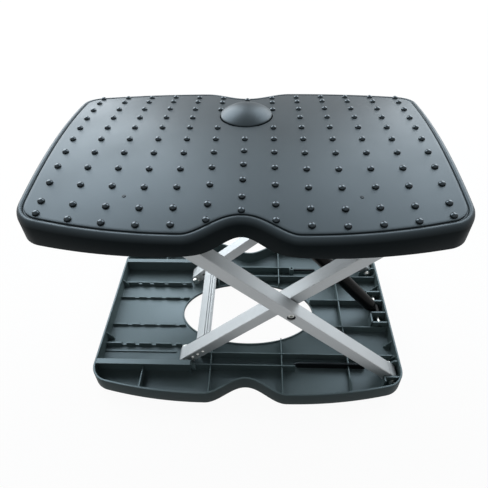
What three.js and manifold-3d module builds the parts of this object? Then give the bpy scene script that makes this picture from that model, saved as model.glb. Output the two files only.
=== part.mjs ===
// Under-desk footrest on a scissor frame: a studded rocking platform, a gas spring that
// holds the height, a foot button that releases it, and an open ribbed base tray.
// Millimetres, +Z up, the user sits on the -Y side. The origin is the middle of the footprint on the floor.
import * as THREE from "three";
import { mergeVertices } from "three/addons/utils/BufferGeometryUtils.js";
import Module from "manifold-3d";

const wasm = await Module();
wasm.setup();

// Clearances
const FIT = 0.3; // between pieces that seat on or slide in each other
const OVERRUN = 2; // how far a cut runs past the face it opens

// Base tray
const FOOT_DROP = 1.5; // how far the rubber feet lift the tray off the floor
const TRAY_HEIGHT = 25.5;
const TRAY_HALF_WIDTH = 226;
const TRAY_HALF_DEPTH = 156;
const TRAY_WALL = 3;
const TRAY_FLOOR = 2.5;
const RIB = 2.5; // thickness of the tray's ribs
const LOW_RIB_RISE = 8; // height of the ribs that the frames pass over
const TALL_RIB_DROP = 5; // how far the tall ribs end below the rim
const HOLE_HALF_LENGTH = 108;
const HOLE_HALF_WIDTH = 63.5;
const HOLE_SETBACK = 8; // the oval hole's centre, towards the back
const HOLE_LIP = 2;
const HOLE_LIP_RISE = 2;
const FOOT_RADIUS = 13;
const FOOT_POCKET = 1.2;
const FOOT_SIDE_INSET = 38; // a rubber foot's middle, from the tray's side
const FOOT_END_INSET = 48; // the same, from its front or back

// The outline that the tray and the platform share
const NOTCH_HALF_WIDTH = 59;
const NOTCH_DEPTH = 25;
const BOW_DROP = 16.95; // how far the bowed front falls back from the notch to the corner
const BOW_RUN_IN = 7; // how far the bow runs into the corner
const CORNER_RADIUS = 30;
const NOTCH_STEPS = 7;
const BOW_STEPS = 3;
const CORNER_STEPS = 4;
const SIDE_STEPS = 6;

// Scissor frame
const REST_ANGLE = THREE.MathUtils.degToRad(42.4);
const LOW_ANGLE = THREE.MathUtils.degToRad(8); // the lowest setting
const LEG_WIDTH = 22;
const LEG_HEIGHT = 16;
const LEG_WALL = 1.6;
const LEG_EDGE = 0.8; // chamfer along the tube's edges
const CAP_REACH = 14; // from the pivot to the tube's end
const CAP_TONGUE = 26; // how far an end cap reaches into its tube
const LEG_INSET = 82; // inner face of the inner legs, from the tray's front or back
const LANE_GAP = 1.6; // between an inner and an outer leg
const WASHER = 1;
const PIN_RADIUS = 4;
const HINGE_INSET = 14; // fixed pivots, from the tray's right side
const SLIDE_INSET = 28.03; // sliding ends at the lowest setting, from the tray's left side
const HINGE_RISE = 11.1; // hinge axis above the tray's underside
const HINGE_PIN_PAST = 7.4; // how far a hinge pin shows past its leg
const CHEEK_GAP = 0.7; // between a leg and the cheek beside it
const CHEEK_BACK = 14; // from the hinge axis to the inboard end of its cheeks

// Bolts, nuts and screws
const NUT_RADIUS = 7.2;
const NUT_HEIGHT = 5.2;
const BOLT_HEAD_RADIUS = 6.4;
const BOLT_HEAD = 5.5;
const BOLT_END = 3;
const SOCKET_HEAD_RADIUS = 5.4;
const SOCKET_HEAD = 5;
const SOCKET_RADIUS = 3;
const SOCKET_DEPTH = 3;
const SOCKET_RECESS = 0.8;
const SCREW_RADIUS = 2;
const SCREW_HEAD_RADIUS = 3.4;
const SCREW_HEAD = 1.2;
const SCREW_PLACES = [19, 30, 41]; // along the inner leg, from its lower pivot
const CAP_SCREW_LENGTH = 12;
const BAR_SCREW_LENGTH = 33;

// Cross members
const INNER_BAR_START = 32; // along the inner leg, from its lower pivot
const INNER_BAR_WIDTH = 26.5;
const INNER_BAR_DROP = 3.2; // below the leg's middle line; its top is level with the leg's
const INNER_BAR_SHEET = 5; // thickness of its top plate
const INNER_WEB_INSET = 4; // from the plate's lower edge to the web under it
const INNER_WEB_WIDTH = 14;
const BAR_GROOVE_WIDTH = 1.6;
const BAR_GROOVE_INSET = 4; // first groove's middle, from the plate's upper edge
const BAR_GROOVE_DEPTH = 2;
const BAR_GROOVE_PITCH = 5.3;
const BAR_GROOVES = 2;
const OUTER_BAR_START = 58; // along the outer leg, from its upper pivot
const OUTER_BAR_WIDTH = 20;
const OUTER_BAR_DROP = 1; // its top below the leg's middle line; its underside is level with the leg's

// Carrier under the platform
const RAIL_SHEET = 2;
const RAIL_DROP = 7; // channel walls below the pivot line
const RAIL_RISE = 11.2; // channel top above the pivot line
const RAIL_SIDE_GAP = 4; // between an inner leg and the channel's inner wall
const RAIL_OUTER_GAP = 2.4; // between an outer leg and the channel's outer wall
const RAIL_END = 10; // past the outermost pivot
const STRAP_WIDTH = 24;
const STRAP_SHEET = 3;
const STRAP_RISE = 5.2; // underside of the straps above the pivot line
const TILT_INSET = 46; // middle of the tilt ears, from the platform's side
const TILT_RISE = 19.2; // tilt axis above the pivot line
const TILT_EAR = 4;
const TILT_EAR_HALF = 13;
const TILT_EAR_ROUND_SHARE = 0.7; // radius of the ear's round top
const TILT_LUG = 3.5;
const TILT_LUG_HALF = 10;
const TILT_LUG_DROP = 7.5; // lug below the tilt axis
const TILT_LUG_GAP = 2.5; // between the ear and each lug
const TILT_PIN_RADIUS = 3.5;
const DISC_RADIUS = 8;

// Platform
const PLATFORM_OVERHANG = 6; // platform past the tray on every side
const PLATFORM_RISE = 44.3; // top of the crown above the pivot line
const CROWN_FALL = 16.11; // fall of the top from its middle line to its front and back
const TOP_SHEET = 3.2;
const SKIRT_DROP = 43; // skirt's lower edge below the top's middle
const SKIRT_ARCH = 8.3; // how far that edge rises at the notch
const SKIRT_WALL = 3;
const EDGE_FALL = 4; // fall of the rounded edge
const EDGE_ROUND = 4.5;
const EDGE_INSET_SHARES = [0.5, 0.13, 0]; // points of the rounded edge, in from the side
const EDGE_FALL_SHARES = [0.15, 0.5, 1.2]; // and down from the top
const GROOVE_INSET = 7; // from the edge to the groove's inner side
const GROOVE_WIDTH = 2;
const GROOVE_DEPTH = 1.4;
const GROOVE_SHOULDER_SHARE = 1.3;
const GRID_ROWS = 14;
const STUD_PITCH_X = 34.4;
const STUD_PITCH_Y = 28.2;
const STUD_SIDE_ROOM = 20; // between the outermost studs and the platform's side
const STUD_END_INSET = 28.6; // the edge row, from the platform's front or back
const STUD_RADIUS = 3.6;
const STUD_RISE = 2.4;
const STUD_SIDES = 5;
const STUD_TOP_SHARE = 0.55;
// How far a row of studs bows with the outline, by column from the middle, as shares of its distance
const FRONT_BOW_SHARES = [-0.071, 0.026, 0.074, 0.079, 0.06, 0.038, 0];
const BACK_BOW_SHARES = [-0.065, 0.011, 0.037, 0.056, 0.044, 0.035, 0];

// Foot button and release lever
const BUTTON_INSET = 97.5; // the button's middle, from the platform's back
const BUTTON_RADIUS = 33;
const BUTTON_GAP = 1.2;
const BUTTON_RISE = 14.5;
const BUTTON_SHELL = 2.6;
const BUTTON_SKIRT = 5.4;
const BUTTON_TRAVEL = 5;
const BUTTON_BOSS_RADIUS = 16;
const BUTTON_STEPS = 5;
const STUD_CLEAR = 3; // between the button and the nearest studs
const STUD_CLEAR_MIDDLE = 9; // the same on the middle column
const GUIDE_WALL = 2.5;
const GUIDE_FLOOR = 2;
const SPRING_TURNS = 2;
const SPRING_TURN_STEPS = 14;
const WIRE_SIDES = 5;
const SPRING_WIRE_RADIUS = 0.6;
const SPRING_RADIUS = 13;
const LEVER_SHEET = 2;
const LEVER_GAP = 2.54; // between the lever and the button's guide
const LEVER_HALF = 8;
const LEVER_PIVOT_Y = -45;
const LEVER_BARREL = 4;
const LEVER_PIN_RADIUS = 2;
const LEVER_LUG = 3.5;
const LEVER_LUG_HALF = 5;
const PLUNGER_RADIUS = 4;
const PLUNGER_SETBACK = 7.5; // plunger towards the front of the button's middle
const PLUNGER_END = 6; // lever past the plunger

// Gas spring
const STRUT_Y = 8; // its plane, a little behind the middle
const HEAD_X = -31; // upper end at rest
const HEAD_RISE = 9.4; // above the pivot line
const CYLINDER_RADIUS = 10.5;
const CYLINDER_START = 18;
const CYLINDER_LENGTH = 210;
const CYLINDER_BORE_START = 60;
const COLLAR_LENGTH = 7;
const EYE_RADIUS = 8;
const EYE_HALF = 8;
const ROD_RADIUS = 5;
const ROD_INSIDE = 27; // rod left inside the cylinder at rest
const HEAD_LENGTH = 18;
const HEAD_RADIUS = 8;
const RELEASE_TIP_RADIUS = 2.5;
const RELEASE_TIP = 10; // tip's end past the head's pin
const HOOK_GAP = 3; // between the head and the bracket's cheeks
const HOOK_SHEET = 3;
const HOOK_BACK = 8; // cheek past the pin, to the left
const HOOK_REACH = 51; // from the head's pin to the hook's strap
const HOOK_DROP = 6; // cheeks below the head's pin
const STRUT_CHEEK_OUT = 20; // distance between the two cheeks on each side of the strut

// Round sections
const PIN_SIDES = 16;
const BIG_SIDES = 28;

// Derived places
const bowReach = TRAY_HALF_WIDTH - CORNER_RADIUS - NOTCH_HALF_WIDTH + BOW_RUN_IN;
const bowRadius = (bowReach * bowReach + BOW_DROP * BOW_DROP) / (2 * BOW_DROP);
const PLATFORM_HALF_WIDTH = TRAY_HALF_WIDTH + PLATFORM_OVERHANG;
const PLATFORM_HALF_DEPTH = TRAY_HALF_DEPTH + PLATFORM_OVERHANG;
const HINGE_X = TRAY_HALF_WIDTH - HINGE_INSET;
const lowSlideX = SLIDE_INSET - TRAY_HALF_WIDTH;
const LEG_PITCH = (HINGE_X - lowSlideX) / Math.cos(LOW_ANGLE); // from lower pivot to upper pivot
const INNER_FACE_Y = TRAY_HALF_DEPTH - LEG_INSET;
const TILT_X = PLATFORM_HALF_WIDTH - TILT_INSET;
const BUTTON_Y = PLATFORM_HALF_DEPTH - BUTTON_INSET;
const HOOK_STRAP_X = HEAD_X + HOOK_REACH;
const trayBottom = FOOT_DROP;
const rimZ = trayBottom + TRAY_HEIGHT;
const floorZ = trayBottom + TRAY_FLOOR;
const lowRibZ = floorZ + LOW_RIB_RISE;
const tallRibZ = rimZ - TALL_RIB_DROP;
const hingeZ = trayBottom + HINGE_RISE;
const legSpan = LEG_PITCH * Math.cos(REST_ANGLE);
const slideX = HINGE_X - legSpan; // sliding ends of both frames at rest
const pivotZ = hingeZ + LEG_PITCH * Math.sin(REST_ANGLE); // pivot line of the carrier
const innerOuterY = INNER_FACE_Y + LEG_WIDTH;
const outerInnerY = innerOuterY + LANE_GAP;
const outerOuterY = outerInnerY + LEG_WIDTH;
const topZ = pivotZ + PLATFORM_RISE;
const tiltZ = pivotZ + TILT_RISE;
const railInnerY = INNER_FACE_Y - RAIL_SIDE_GAP;
const railOuterY = outerOuterY + RAIL_OUTER_GAP;
const holeRadius = PIN_RADIUS + FIT;
const strutSpan = HINGE_X - HEAD_X;
const headZ = pivotZ + HEAD_RISE;
const strutAngle = Math.atan2(headZ - hingeZ, strutSpan);
const strutLength = Math.hypot(headZ - hingeZ, strutSpan);
const crownZ = (y) => topZ - CROWN_FALL * (y / PLATFORM_HALF_DEPTH) ** 2;
const skirtZ = (x) => topZ - SKIRT_DROP + SKIRT_ARCH / (1 + (x / NOTCH_HALF_WIDTH) ** 2);

// Materials
const plastic = (hex, roughness) =>
  new THREE.MeshStandardMaterial({ color: hex, roughness, metalness: 0 });
const metal = (hex, roughness) =>
  new THREE.MeshStandardMaterial({ color: hex, roughness, metalness: 1 });
const PLATFORM_PLASTIC = () => plastic(0x3a4043, 0.45);
const TRAY_PLASTIC = () => plastic(0x4a5355, 0.55);
const BLACK_PLASTIC = () => plastic(0x1c1e1f, 0.5);
const RUBBER = () => plastic(0x161616, 0.9);
const ALUMINIUM = () => metal(0xc3c8ca, 0.35);
const BRIGHT_STEEL = () => metal(0xd6d8d6, 0.22);
const BLACK_STEEL = () => metal(0x17191a, 0.4);
const BLACK_SHEET = () => plastic(0x202223, 0.5);

// Solids
function solid(geometry) {
  const bare = geometry.index ? geometry.toNonIndexed() : geometry.clone();
  bare.deleteAttribute("normal");
  bare.deleteAttribute("uv");
  const merged = mergeVertices(bare, 1e-4);
  return new wasm.Manifold(
    new wasm.Mesh({
      numProp: 3,
      vertProperties: merged.attributes.position.array,
      triVerts: new Uint32Array(merged.index.array),
    }),
  );
}

function geometryOf(manifold) {
  const mesh = manifold.getMesh();
  const places = new Float32Array(mesh.numVert * 3);
  for (let i = 0; i < mesh.numVert; i++) {
    places.set(mesh.vertProperties.subarray(i * mesh.numProp, i * mesh.numProp + 3), i * 3);
  }
  const geometry = new THREE.BufferGeometry();
  geometry.setAttribute("position", new THREE.BufferAttribute(places, 3));
  geometry.setIndex(new THREE.BufferAttribute(mesh.triVerts, 1));
  geometry.computeVertexNormals();
  return geometry;
}

const join = (pieces) => pieces.reduce((whole, piece) => whole.add(piece));
const cut = (body, cutters) => cutters.reduce((rest, cutter) => rest.subtract(cutter), body);

// A box from its low and high corners
function box(low, high) {
  const size = high.map((value, axis) => value - low[axis]);
  const geometry = new THREE.BoxGeometry(...size);
  geometry.translate(...low.map((value, axis) => value + size[axis] / 2));
  return solid(geometry);
}

// A cylinder along Y from y0 to y1 about the point (x, z)
function rodY(x, z, y0, y1, radius, sides = PIN_SIDES) {
  const geometry = new THREE.CylinderGeometry(radius, radius, Math.abs(y1 - y0), sides);
  geometry.translate(x, (y0 + y1) / 2, z);
  return solid(geometry);
}

// A cylinder along X from x0 to x1 about the point (y, z)
function rodX(y, z, x0, x1, radius, sides = PIN_SIDES) {
  const geometry = new THREE.CylinderGeometry(radius, radius, Math.abs(x1 - x0), sides);
  geometry.rotateZ(Math.PI / 2);
  geometry.translate((x0 + x1) / 2, y, z);
  return solid(geometry);
}

// A cylinder along Z from z0 to z1 about the point (x, y)
function rodZ(x, y, z0, z1, radius, sides = PIN_SIDES) {
  const geometry = new THREE.CylinderGeometry(radius, radius, Math.abs(z1 - z0), sides);
  geometry.rotateX(Math.PI / 2);
  geometry.translate(x, y, (z0 + z1) / 2);
  return solid(geometry);
}

// A plan outline carried from z0 up to z1
function prism(points, z0, z1) {
  const shape = new THREE.Shape(points.map(([x, y]) => new THREE.Vector2(x, y)));
  const geometry = new THREE.ExtrudeGeometry(shape, { depth: z1 - z0, bevelEnabled: false });
  geometry.translate(0, 0, z0);
  return solid(geometry);
}

// A profile in X and Z carried from y0 to y1
function prismY(points, y0, y1) {
  const shape = new THREE.Shape(points.map(([x, z]) => new THREE.Vector2(x, z)));
  const geometry = new THREE.ExtrudeGeometry(shape, { depth: y1 - y0, bevelEnabled: false });
  geometry.rotateX(Math.PI / 2);
  geometry.translate(0, y1, 0);
  return solid(geometry);
}

// A profile in Y and Z carried from x0 to x1
function prismX(points, x0, x1) {
  const shape = new THREE.Shape(points.map(([y, z]) => new THREE.Vector2(y, z)));
  const geometry = new THREE.ExtrudeGeometry(shape, { depth: x1 - x0, bevelEnabled: false });
  geometry.rotateX(Math.PI / 2);
  geometry.rotateZ(Math.PI / 2);
  geometry.translate(x0, 0, 0);
  return solid(geometry);
}

// A profile of radius and height turned about the upright axis through (x, y)
function turned(points, x, y, sides = BIG_SIDES) {
  const geometry = new THREE.LatheGeometry(
    points.map(([radius, height]) => new THREE.Vector2(radius, height)),
    sides,
  );
  geometry.rotateX(Math.PI / 2);
  geometry.translate(x, y, 0);
  return solid(geometry);
}

// One solid, with its name and its material, in the group that carries it
function place(group, name, manifold, material) {
  const mesh = new THREE.Mesh(geometryOf(manifold), material);
  mesh.name = name;
  group.add(mesh);
}

// One quarter of the outline, from the front notch's apex round to the middle of the right side
function quarterOutline(halfWidth, halfDepth) {
  const points = [];
  for (let i = 0; i < NOTCH_STEPS; i++) {
    const t = i / NOTCH_STEPS;
    const y = halfDepth - (NOTCH_DEPTH / 2) * (1 + Math.cos(Math.PI * t));
    points.push([NOTCH_HALF_WIDTH * t, y]);
  }
  const turn = Math.asin((halfWidth - CORNER_RADIUS - NOTCH_HALF_WIDTH) / (bowRadius - CORNER_RADIUS));
  for (let i = 0; i < BOW_STEPS; i++) {
    const angle = (turn * i) / BOW_STEPS;
    points.push([
      NOTCH_HALF_WIDTH + bowRadius * Math.sin(angle),
      halfDepth - bowRadius * (1 - Math.cos(angle)),
    ]);
  }
  const centreX = halfWidth - CORNER_RADIUS;
  const centreY = halfDepth - bowRadius + (bowRadius - CORNER_RADIUS) * Math.cos(turn);
  for (let i = 0; i <= CORNER_STEPS; i++) {
    const angle = turn + ((Math.PI / 2 - turn) * i) / CORNER_STEPS;
    points.push([centreX + CORNER_RADIUS * Math.sin(angle), centreY + CORNER_RADIUS * Math.cos(angle)]);
  }
  return points;
}

// The whole outline, anticlockwise from the front notch, each point moved in by inset
function outline(halfWidth, halfDepth, inset = 0) {
  const quarter = quarterOutline(halfWidth, halfDepth);
  const corner = quarter[quarter.length - 1];
  const side = [];
  for (let i = 1; i < SIDE_STEPS; i++) side.push([corner[0], corner[1] * ((2 * i) / SIDE_STEPS - 1)]);
  const front = quarter.map(([x, y]) => [x, -y]);
  const back = [...quarter].reverse();
  const right = [...front, ...side, ...back];
  const left = right.slice(1, -1).reverse().map(([x, y]) => [-x, y]);
  const whole = [...right, ...left];
  return whole.map(([x, y], i) => {
    const [x0, y0] = whole[(i + whole.length - 1) % whole.length];
    const [x1, y1] = whole[(i + 1) % whole.length];
    const length = Math.hypot(x1 - x0, y1 - y0);
    return [x - (inset * (y1 - y0)) / length, y + (inset * (x1 - x0)) / length];
  });
}

// The space above the crowned surface that lies below the platform's top by fall
function aboveCrown(fall, halfWidth, halfDepth) {
  const points = [];
  for (let i = 0; i <= GRID_ROWS; i++) {
    const y = halfDepth * ((2 * i) / GRID_ROWS - 1);
    points.push([y, crownZ(y) - fall]);
  }
  points.push([halfDepth, topZ + BUTTON_RISE + OVERRUN]);
  points.push([-halfDepth, topZ + BUTTON_RISE + OVERRUN]);
  return prismX(points, -halfWidth, halfWidth);
}

// Base tray: floor, wall, oval hole, ribs, frame guides and hinge cheeks
function baseTray() {
  const shell = prism(outline(TRAY_HALF_WIDTH, TRAY_HALF_DEPTH), trayBottom, rimZ).subtract(
    prism(outline(TRAY_HALF_WIDTH, TRAY_HALF_DEPTH, TRAY_WALL), floorZ, rimZ + OVERRUN),
  );
  const middleOfWall = outline(TRAY_HALF_WIDTH, TRAY_HALF_DEPTH, TRAY_WALL / 2);
  const inside = prism(middleOfWall, floorZ - TRAY_FLOOR / 2, rimZ);
  const oval = (grow) =>
    Array.from({ length: BIG_SIDES }, (_, i) => {
      const angle = (2 * Math.PI * i) / BIG_SIDES;
      return [
        (HOLE_HALF_LENGTH + grow) * Math.cos(angle),
        HOLE_SETBACK + (HOLE_HALF_WIDTH + grow) * Math.sin(angle),
      ];
    });
  const lip = prism(oval(HOLE_LIP), floorZ - TRAY_FLOOR / 2, floorZ + HOLE_LIP_RISE);
  const ribs = join([lowRibs(), guideRibs(), pocketRibs(), hingeCheeks()]);
  const feet = footPlaces().map(([x, y]) =>
    rodZ(x, y, trayBottom - OVERRUN, trayBottom + FOOT_POCKET, FOOT_RADIUS + FIT),
  );
  const pins = [-1, 1].map((side) => {
    const inner = side * (INNER_FACE_Y + OVERRUN);
    return rodY(HINGE_X, hingeZ, inner, side * (outerOuterY + STRUT_CHEEK_OUT / 2), holeRadius);
  });
  const strutHole = rodY(HINGE_X, hingeZ, STRUT_Y - strutCheekFar(), STRUT_Y + strutCheekFar(), holeRadius);
  return cut(shell.add(lip).add(ribs.intersect(inside)), [
    prism(oval(0), trayBottom - OVERRUN, rimZ),
    ...feet,
    ...pins,
    strutHole,
  ]);
}

const footPlaces = () => {
  const x = TRAY_HALF_WIDTH - FOOT_SIDE_INSET;
  const y = TRAY_HALF_DEPTH - FOOT_END_INSET;
  return [-1, 1].flatMap((sx) => [-1, 1].map((sy) => [sx * x, sy * y]));
};
const ribX = (x0, x1, y, z) => box([x0, y - RIB / 2, floorZ - TRAY_FLOOR / 2], [x1, y + RIB / 2, z]);
const ribY = (y0, y1, x, z) => box([x - RIB / 2, y0, floorZ - TRAY_FLOOR / 2], [x + RIB / 2, y1, z]);

// Ribs' places, the shares being of the tray's half depth and half width
const laneRibY = INNER_FACE_Y - BOLT_HEAD - 2 * FIT - RIB / 2;
const RACK_RIB_SHARE = 0.185;
const RACK_END_SHARE = -0.48;
const CROSS_RIB_SHARE = 0.66;
const MID_RIB_SHARE = 0.24;
const OUTER_RIB_SHARE = 0.68;
const STRUT_RIB_SHARES = [-0.175, 0.175]; // on each side of the gas spring's lane
const RIGHT_RIB_SHARES = [-0.655, -0.52, 0.52, 0.655]; // in the right half, across the frames' lanes
const RACK_NOTCH_SHARES = [-0.86, -0.765, -0.65, -0.51]; // stops' places
const RACK_RIB_RISE = 9.5; // above the tray's floor
const NOTCH_CUT = 5; // depth of a stop's notch
const NOTCH_HALF = 4;

// Ribs that the frames and the gas spring pass over, and the stops' rack on the left
function lowRibs() {
  const w = TRAY_HALF_WIDTH;
  const rackY = [-laneRibY, laneRibY, ...[-1, 1].map((side) => side * RACK_RIB_SHARE * TRAY_HALF_DEPTH)];
  const rackTop = floorZ + RACK_RIB_RISE;
  const racks = rackY.map((y) => ribX(-w, RACK_END_SHARE * w, y, rackTop));
  const lanes = [-1, 1].map((side) => ribX(RACK_END_SHARE * w, w, side * laneRibY, lowRibZ));
  const middle = STRUT_RIB_SHARES.map((share) =>
    ribX(MID_RIB_SHARE * w, w, share * TRAY_HALF_DEPTH, lowRibZ),
  );
  const right = RIGHT_RIB_SHARES.map((share) =>
    ribX(-MID_RIB_SHARE * w, OUTER_RIB_SHARE * w, share * TRAY_HALF_DEPTH, lowRibZ),
  );
  const across = ribY(-laneRibY, laneRibY, CROSS_RIB_SHARE * w, lowRibZ);
  const notches = RACK_NOTCH_SHARES.map((share) => {
    const x = share * w;
    const tooth = [
      [x - NOTCH_HALF, rackTop + OVERRUN],
      [x - NOTCH_HALF / 2, rackTop - NOTCH_CUT],
      [x + NOTCH_HALF, rackTop - NOTCH_CUT],
      [x + NOTCH_HALF, rackTop + OVERRUN],
    ];
    return join(rackY.map((y) => prismY(tooth, y - RIB, y + RIB)));
  });
  return cut(join([...racks, ...lanes, ...middle, ...right, across]), notches);
}

// The ledges that keep the inner frame's bolts down, and the walls that carry them
const LEDGE_WIDTH = 8.5;
const LEDGE_SHEET = 2.5;
const LEDGE_LENGTH = 144; // from the tray's left side
const GUIDE_LENGTH = 284;
const NUT_SIDE_ROOM = 3; // between a lower bolt's end and the guide wall
const guideY = innerOuterY + FIT + NUT_HEIGHT + BOLT_END + NUT_SIDE_ROOM + RIB;

function guideRibs() {
  return join(
    [-1, 1].map((side) => {
      const left = -TRAY_HALF_WIDTH;
      const wall = ribX(left, left + GUIDE_LENGTH, side * (guideY - RIB / 2), tallRibZ);
      const tall = ribX(left, left + LEDGE_LENGTH, side * (guideY - RIB / 2), rimZ);
      const yEdges = [side * guideY, side * (guideY - LEDGE_WIDTH)].sort((a, b) => a - b);
      const ledge = box([left, yEdges[0], rimZ - LEDGE_SHEET], [left + LEDGE_LENGTH, yEdges[1], rimZ]);
      return join([wall, tall, ledge]);
    }),
  );
}

// Short ribs between the guides and the tray's front and back walls
function pocketRibs() {
  return join(
    [-1, 1].flatMap((side) => {
      const far = side * TRAY_HALF_DEPTH;
      const ends = (y) => [y, far].sort((a, b) => a - b);
      const guide = side * (guideY - RIB);
      const lane = side * (outerOuterY + CHEEK_GAP);
      return [
        ribY(...ends(guide), -OUTER_RIB_SHARE * TRAY_HALF_WIDTH, lowRibZ),
        ribY(...ends(guide), -MID_RIB_SHARE * TRAY_HALF_WIDTH, tallRibZ),
        ribY(...ends(side * laneRibY), -MID_RIB_SHARE * TRAY_HALF_WIDTH, lowRibZ),
        ribY(...ends(side * laneRibY), MID_RIB_SHARE * TRAY_HALF_WIDTH, lowRibZ),
        ribY(...ends(lane), OUTER_RIB_SHARE * TRAY_HALF_WIDTH, tallRibZ),
      ];
    }),
  );
}

const cheekTop = () => rimZ - LEDGE_SHEET;
const strutCheekNear = () => EYE_HALF + HOOK_GAP;
const strutCheekFar = () => strutCheekNear() + STRUT_CHEEK_OUT + RIB;

// Cheeks on each side of the outer legs' lower ends and of the gas spring's eye
function hingeCheeks() {
  const x0 = HINGE_X - CHEEK_BACK;
  const pieces = [];
  for (const side of [-1, 1]) {
    const inner = side * (outerInnerY - CHEEK_GAP - RIB / 2);
    const outer = side * (outerOuterY + CHEEK_GAP + RIB / 2);
    const near = STRUT_Y + side * (strutCheekNear() + RIB / 2);
    const far = STRUT_Y + side * (strutCheekFar() - RIB / 2);
    for (const y of [inner, outer, near, far]) pieces.push(ribX(x0, TRAY_HALF_WIDTH, y, cheekTop()));
    pieces.push(ribY(Math.min(near, far), Math.max(near, far), x0 + RIB / 2, cheekTop()));
  }
  return join(pieces);
}

function buildBase(root) {
  place(root, "base_tray", baseTray(), TRAY_PLASTIC());
  footPlaces().forEach(([x, y]) => {
    const name = `rubber_foot_${y < 0 ? "front" : "rear"}_${x < 0 ? "left" : "right"}`;
    place(root, name, rodZ(x, y, 0, trayBottom + FOOT_POCKET - FIT, FOOT_RADIUS), RUBBER());
  });
  for (const [side, word] of [[-1, "front"], [1, "rear"]]) {
    const inner = side * (outerInnerY - HINGE_PIN_PAST);
    const outer = side * (outerOuterY + HINGE_PIN_PAST);
    place(root, `hinge_pin_${word}`, rodY(HINGE_X, hingeZ, inner, outer, PIN_RADIUS), BRIGHT_STEEL());
  }
  const reach = strutCheekFar() - RIB / 2;
  const strutPin = rodY(HINGE_X, hingeZ, STRUT_Y - reach, STRUT_Y + reach, PIN_RADIUS);
  place(root, "gas_spring_pin", strutPin, BRIGHT_STEEL());
}

// Leg tube in its own frame: along X from pivot to pivot, its middle plane at y
function legTube(y, holes) {
  const x0 = CAP_REACH;
  const x1 = LEG_PITCH - CAP_REACH;
  const w = LEG_WIDTH / 2;
  const h = LEG_HEIGHT / 2;
  const e = LEG_EDGE;
  const section = [
    [y - w + e, -h], [y + w - e, -h], [y + w, -h + e], [y + w, h - e],
    [y + w - e, h], [y - w + e, h], [y - w, h - e], [y - w, -h + e],
  ];
  const bore = box(
    [x0 - OVERRUN, y - w + LEG_WALL, -h + LEG_WALL],
    [x1 + OVERRUN, y + w - LEG_WALL, h - LEG_WALL],
  );
  return cut(prismX(section, x0, x1), [bore, ...holes]);
}

// End cap: a round nose about the pivot and a tongue that fills the tube's mouth; way is +1 or -1 along X
function legCap(y, pivotX, way, holes) {
  const w = LEG_WIDTH / 2;
  const h = LEG_HEIGHT / 2;
  const inner = LEG_WALL + FIT;
  const shoulder = pivotX + way * (CAP_REACH - FIT);
  const tongueEnd = pivotX + way * (CAP_REACH + CAP_TONGUE);
  const spread = (a, b) => [Math.min(a, b), Math.max(a, b)];
  const [a0, a1] = spread(pivotX, shoulder);
  const [b0, b1] = spread(pivotX, tongueEnd);
  const nose = rodY(pivotX, 0, y - w, y + w, h, PIN_SIDES + PIN_SIDES / 2);
  const block = box([a0, y - w, -h], [a1, y + w, h]);
  const tongue = box([b0, y - w + inner, -h + inner], [b1, y + w - inner, h - inner]);
  const bore = rodY(pivotX, 0, y - w - OVERRUN, y + w + OVERRUN, holeRadius);
  return cut(join([nose, block, tongue]), [bore, ...holes]);
}

const frames = () => {
  const outer = new THREE.Group();
  outer.position.set(slideX, 0, pivotZ);
  outer.rotation.y = REST_ANGLE;
  const inner = new THREE.Group();
  inner.position.set(slideX, 0, hingeZ);
  inner.rotation.y = -REST_ANGLE;
  return { outer, inner };
};

// Outer frame: its local X runs down from the sliding upper axle to the hinge on the tray
function buildOuterFrame(group) {
  const middle = LEG_PITCH / 2;
  for (const [side, word] of [[-1, "front"], [1, "rear"]]) {
    const y = (side * (outerInnerY + outerOuterY)) / 2;
    const face = side * outerOuterY;
    const outside = face + side * OVERRUN;
    const headHole = rodY(middle, 0, outside, face - side * 2 * LEG_WALL, SOCKET_HEAD_RADIUS + FIT);
    const through = rodY(middle, 0, side * INNER_FACE_Y, outside, holeRadius);
    place(group, `outer_leg_${word}`, legTube(y, [headHole, through]), ALUMINIUM());
    place(group, `outer_leg_top_cap_${word}`, legCap(y, 0, 1, []), ALUMINIUM());
    place(group, `outer_leg_foot_cap_${word}`, legCap(y, LEG_PITCH, -1, []), ALUMINIUM());
    place(group, `pivot_bolt_${word}`, pivotBolt(middle, side), BRIGHT_STEEL());
    const washerNear = side * (innerOuterY + (LANE_GAP - WASHER) / 2);
    const washer = ring(middle, washerNear, washerNear + side * WASHER);
    place(group, `pivot_washer_${word}`, washer, BLACK_PLASTIC());
  }
  const reach = railOuterY + RAIL_SHEET + OVERRUN;
  place(group, "upper_axle", rodY(0, 0, -reach, reach, PIN_RADIUS), BRIGHT_STEEL());
  const barEnd = outerInnerY - FIT;
  const bar = box(
    [OUTER_BAR_START, -barEnd, -LEG_HEIGHT / 2],
    [OUTER_BAR_START + OUTER_BAR_WIDTH, barEnd, -OUTER_BAR_DROP],
  );
  place(group, "outer_cross_member", bar, ALUMINIUM());
}

// Socket-head bolt through both legs, its head sunk in the outer leg
function pivotBolt(x, side) {
  const faceY = side * (outerOuterY - SOCKET_RECESS);
  const head = rodY(x, 0, faceY, faceY - side * SOCKET_HEAD, SOCKET_HEAD_RADIUS);
  const shank = rodY(x, 0, faceY - (side * SOCKET_HEAD) / 2, side * (INNER_FACE_Y - BOLT_END), PIN_RADIUS);
  const socket = rodY(x, 0, faceY + side * OVERRUN, faceY - side * SOCKET_DEPTH, SOCKET_RADIUS, 6);
  return head.add(shank).subtract(socket);
}

function hexNut(x, y0, y1) {
  const low = Math.min(y0, y1);
  const high = Math.max(y0, y1);
  return rodY(x, 0, low, high, NUT_RADIUS, 6).subtract(
    rodY(x, 0, low - OVERRUN, high + OVERRUN, holeRadius),
  );
}

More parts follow.
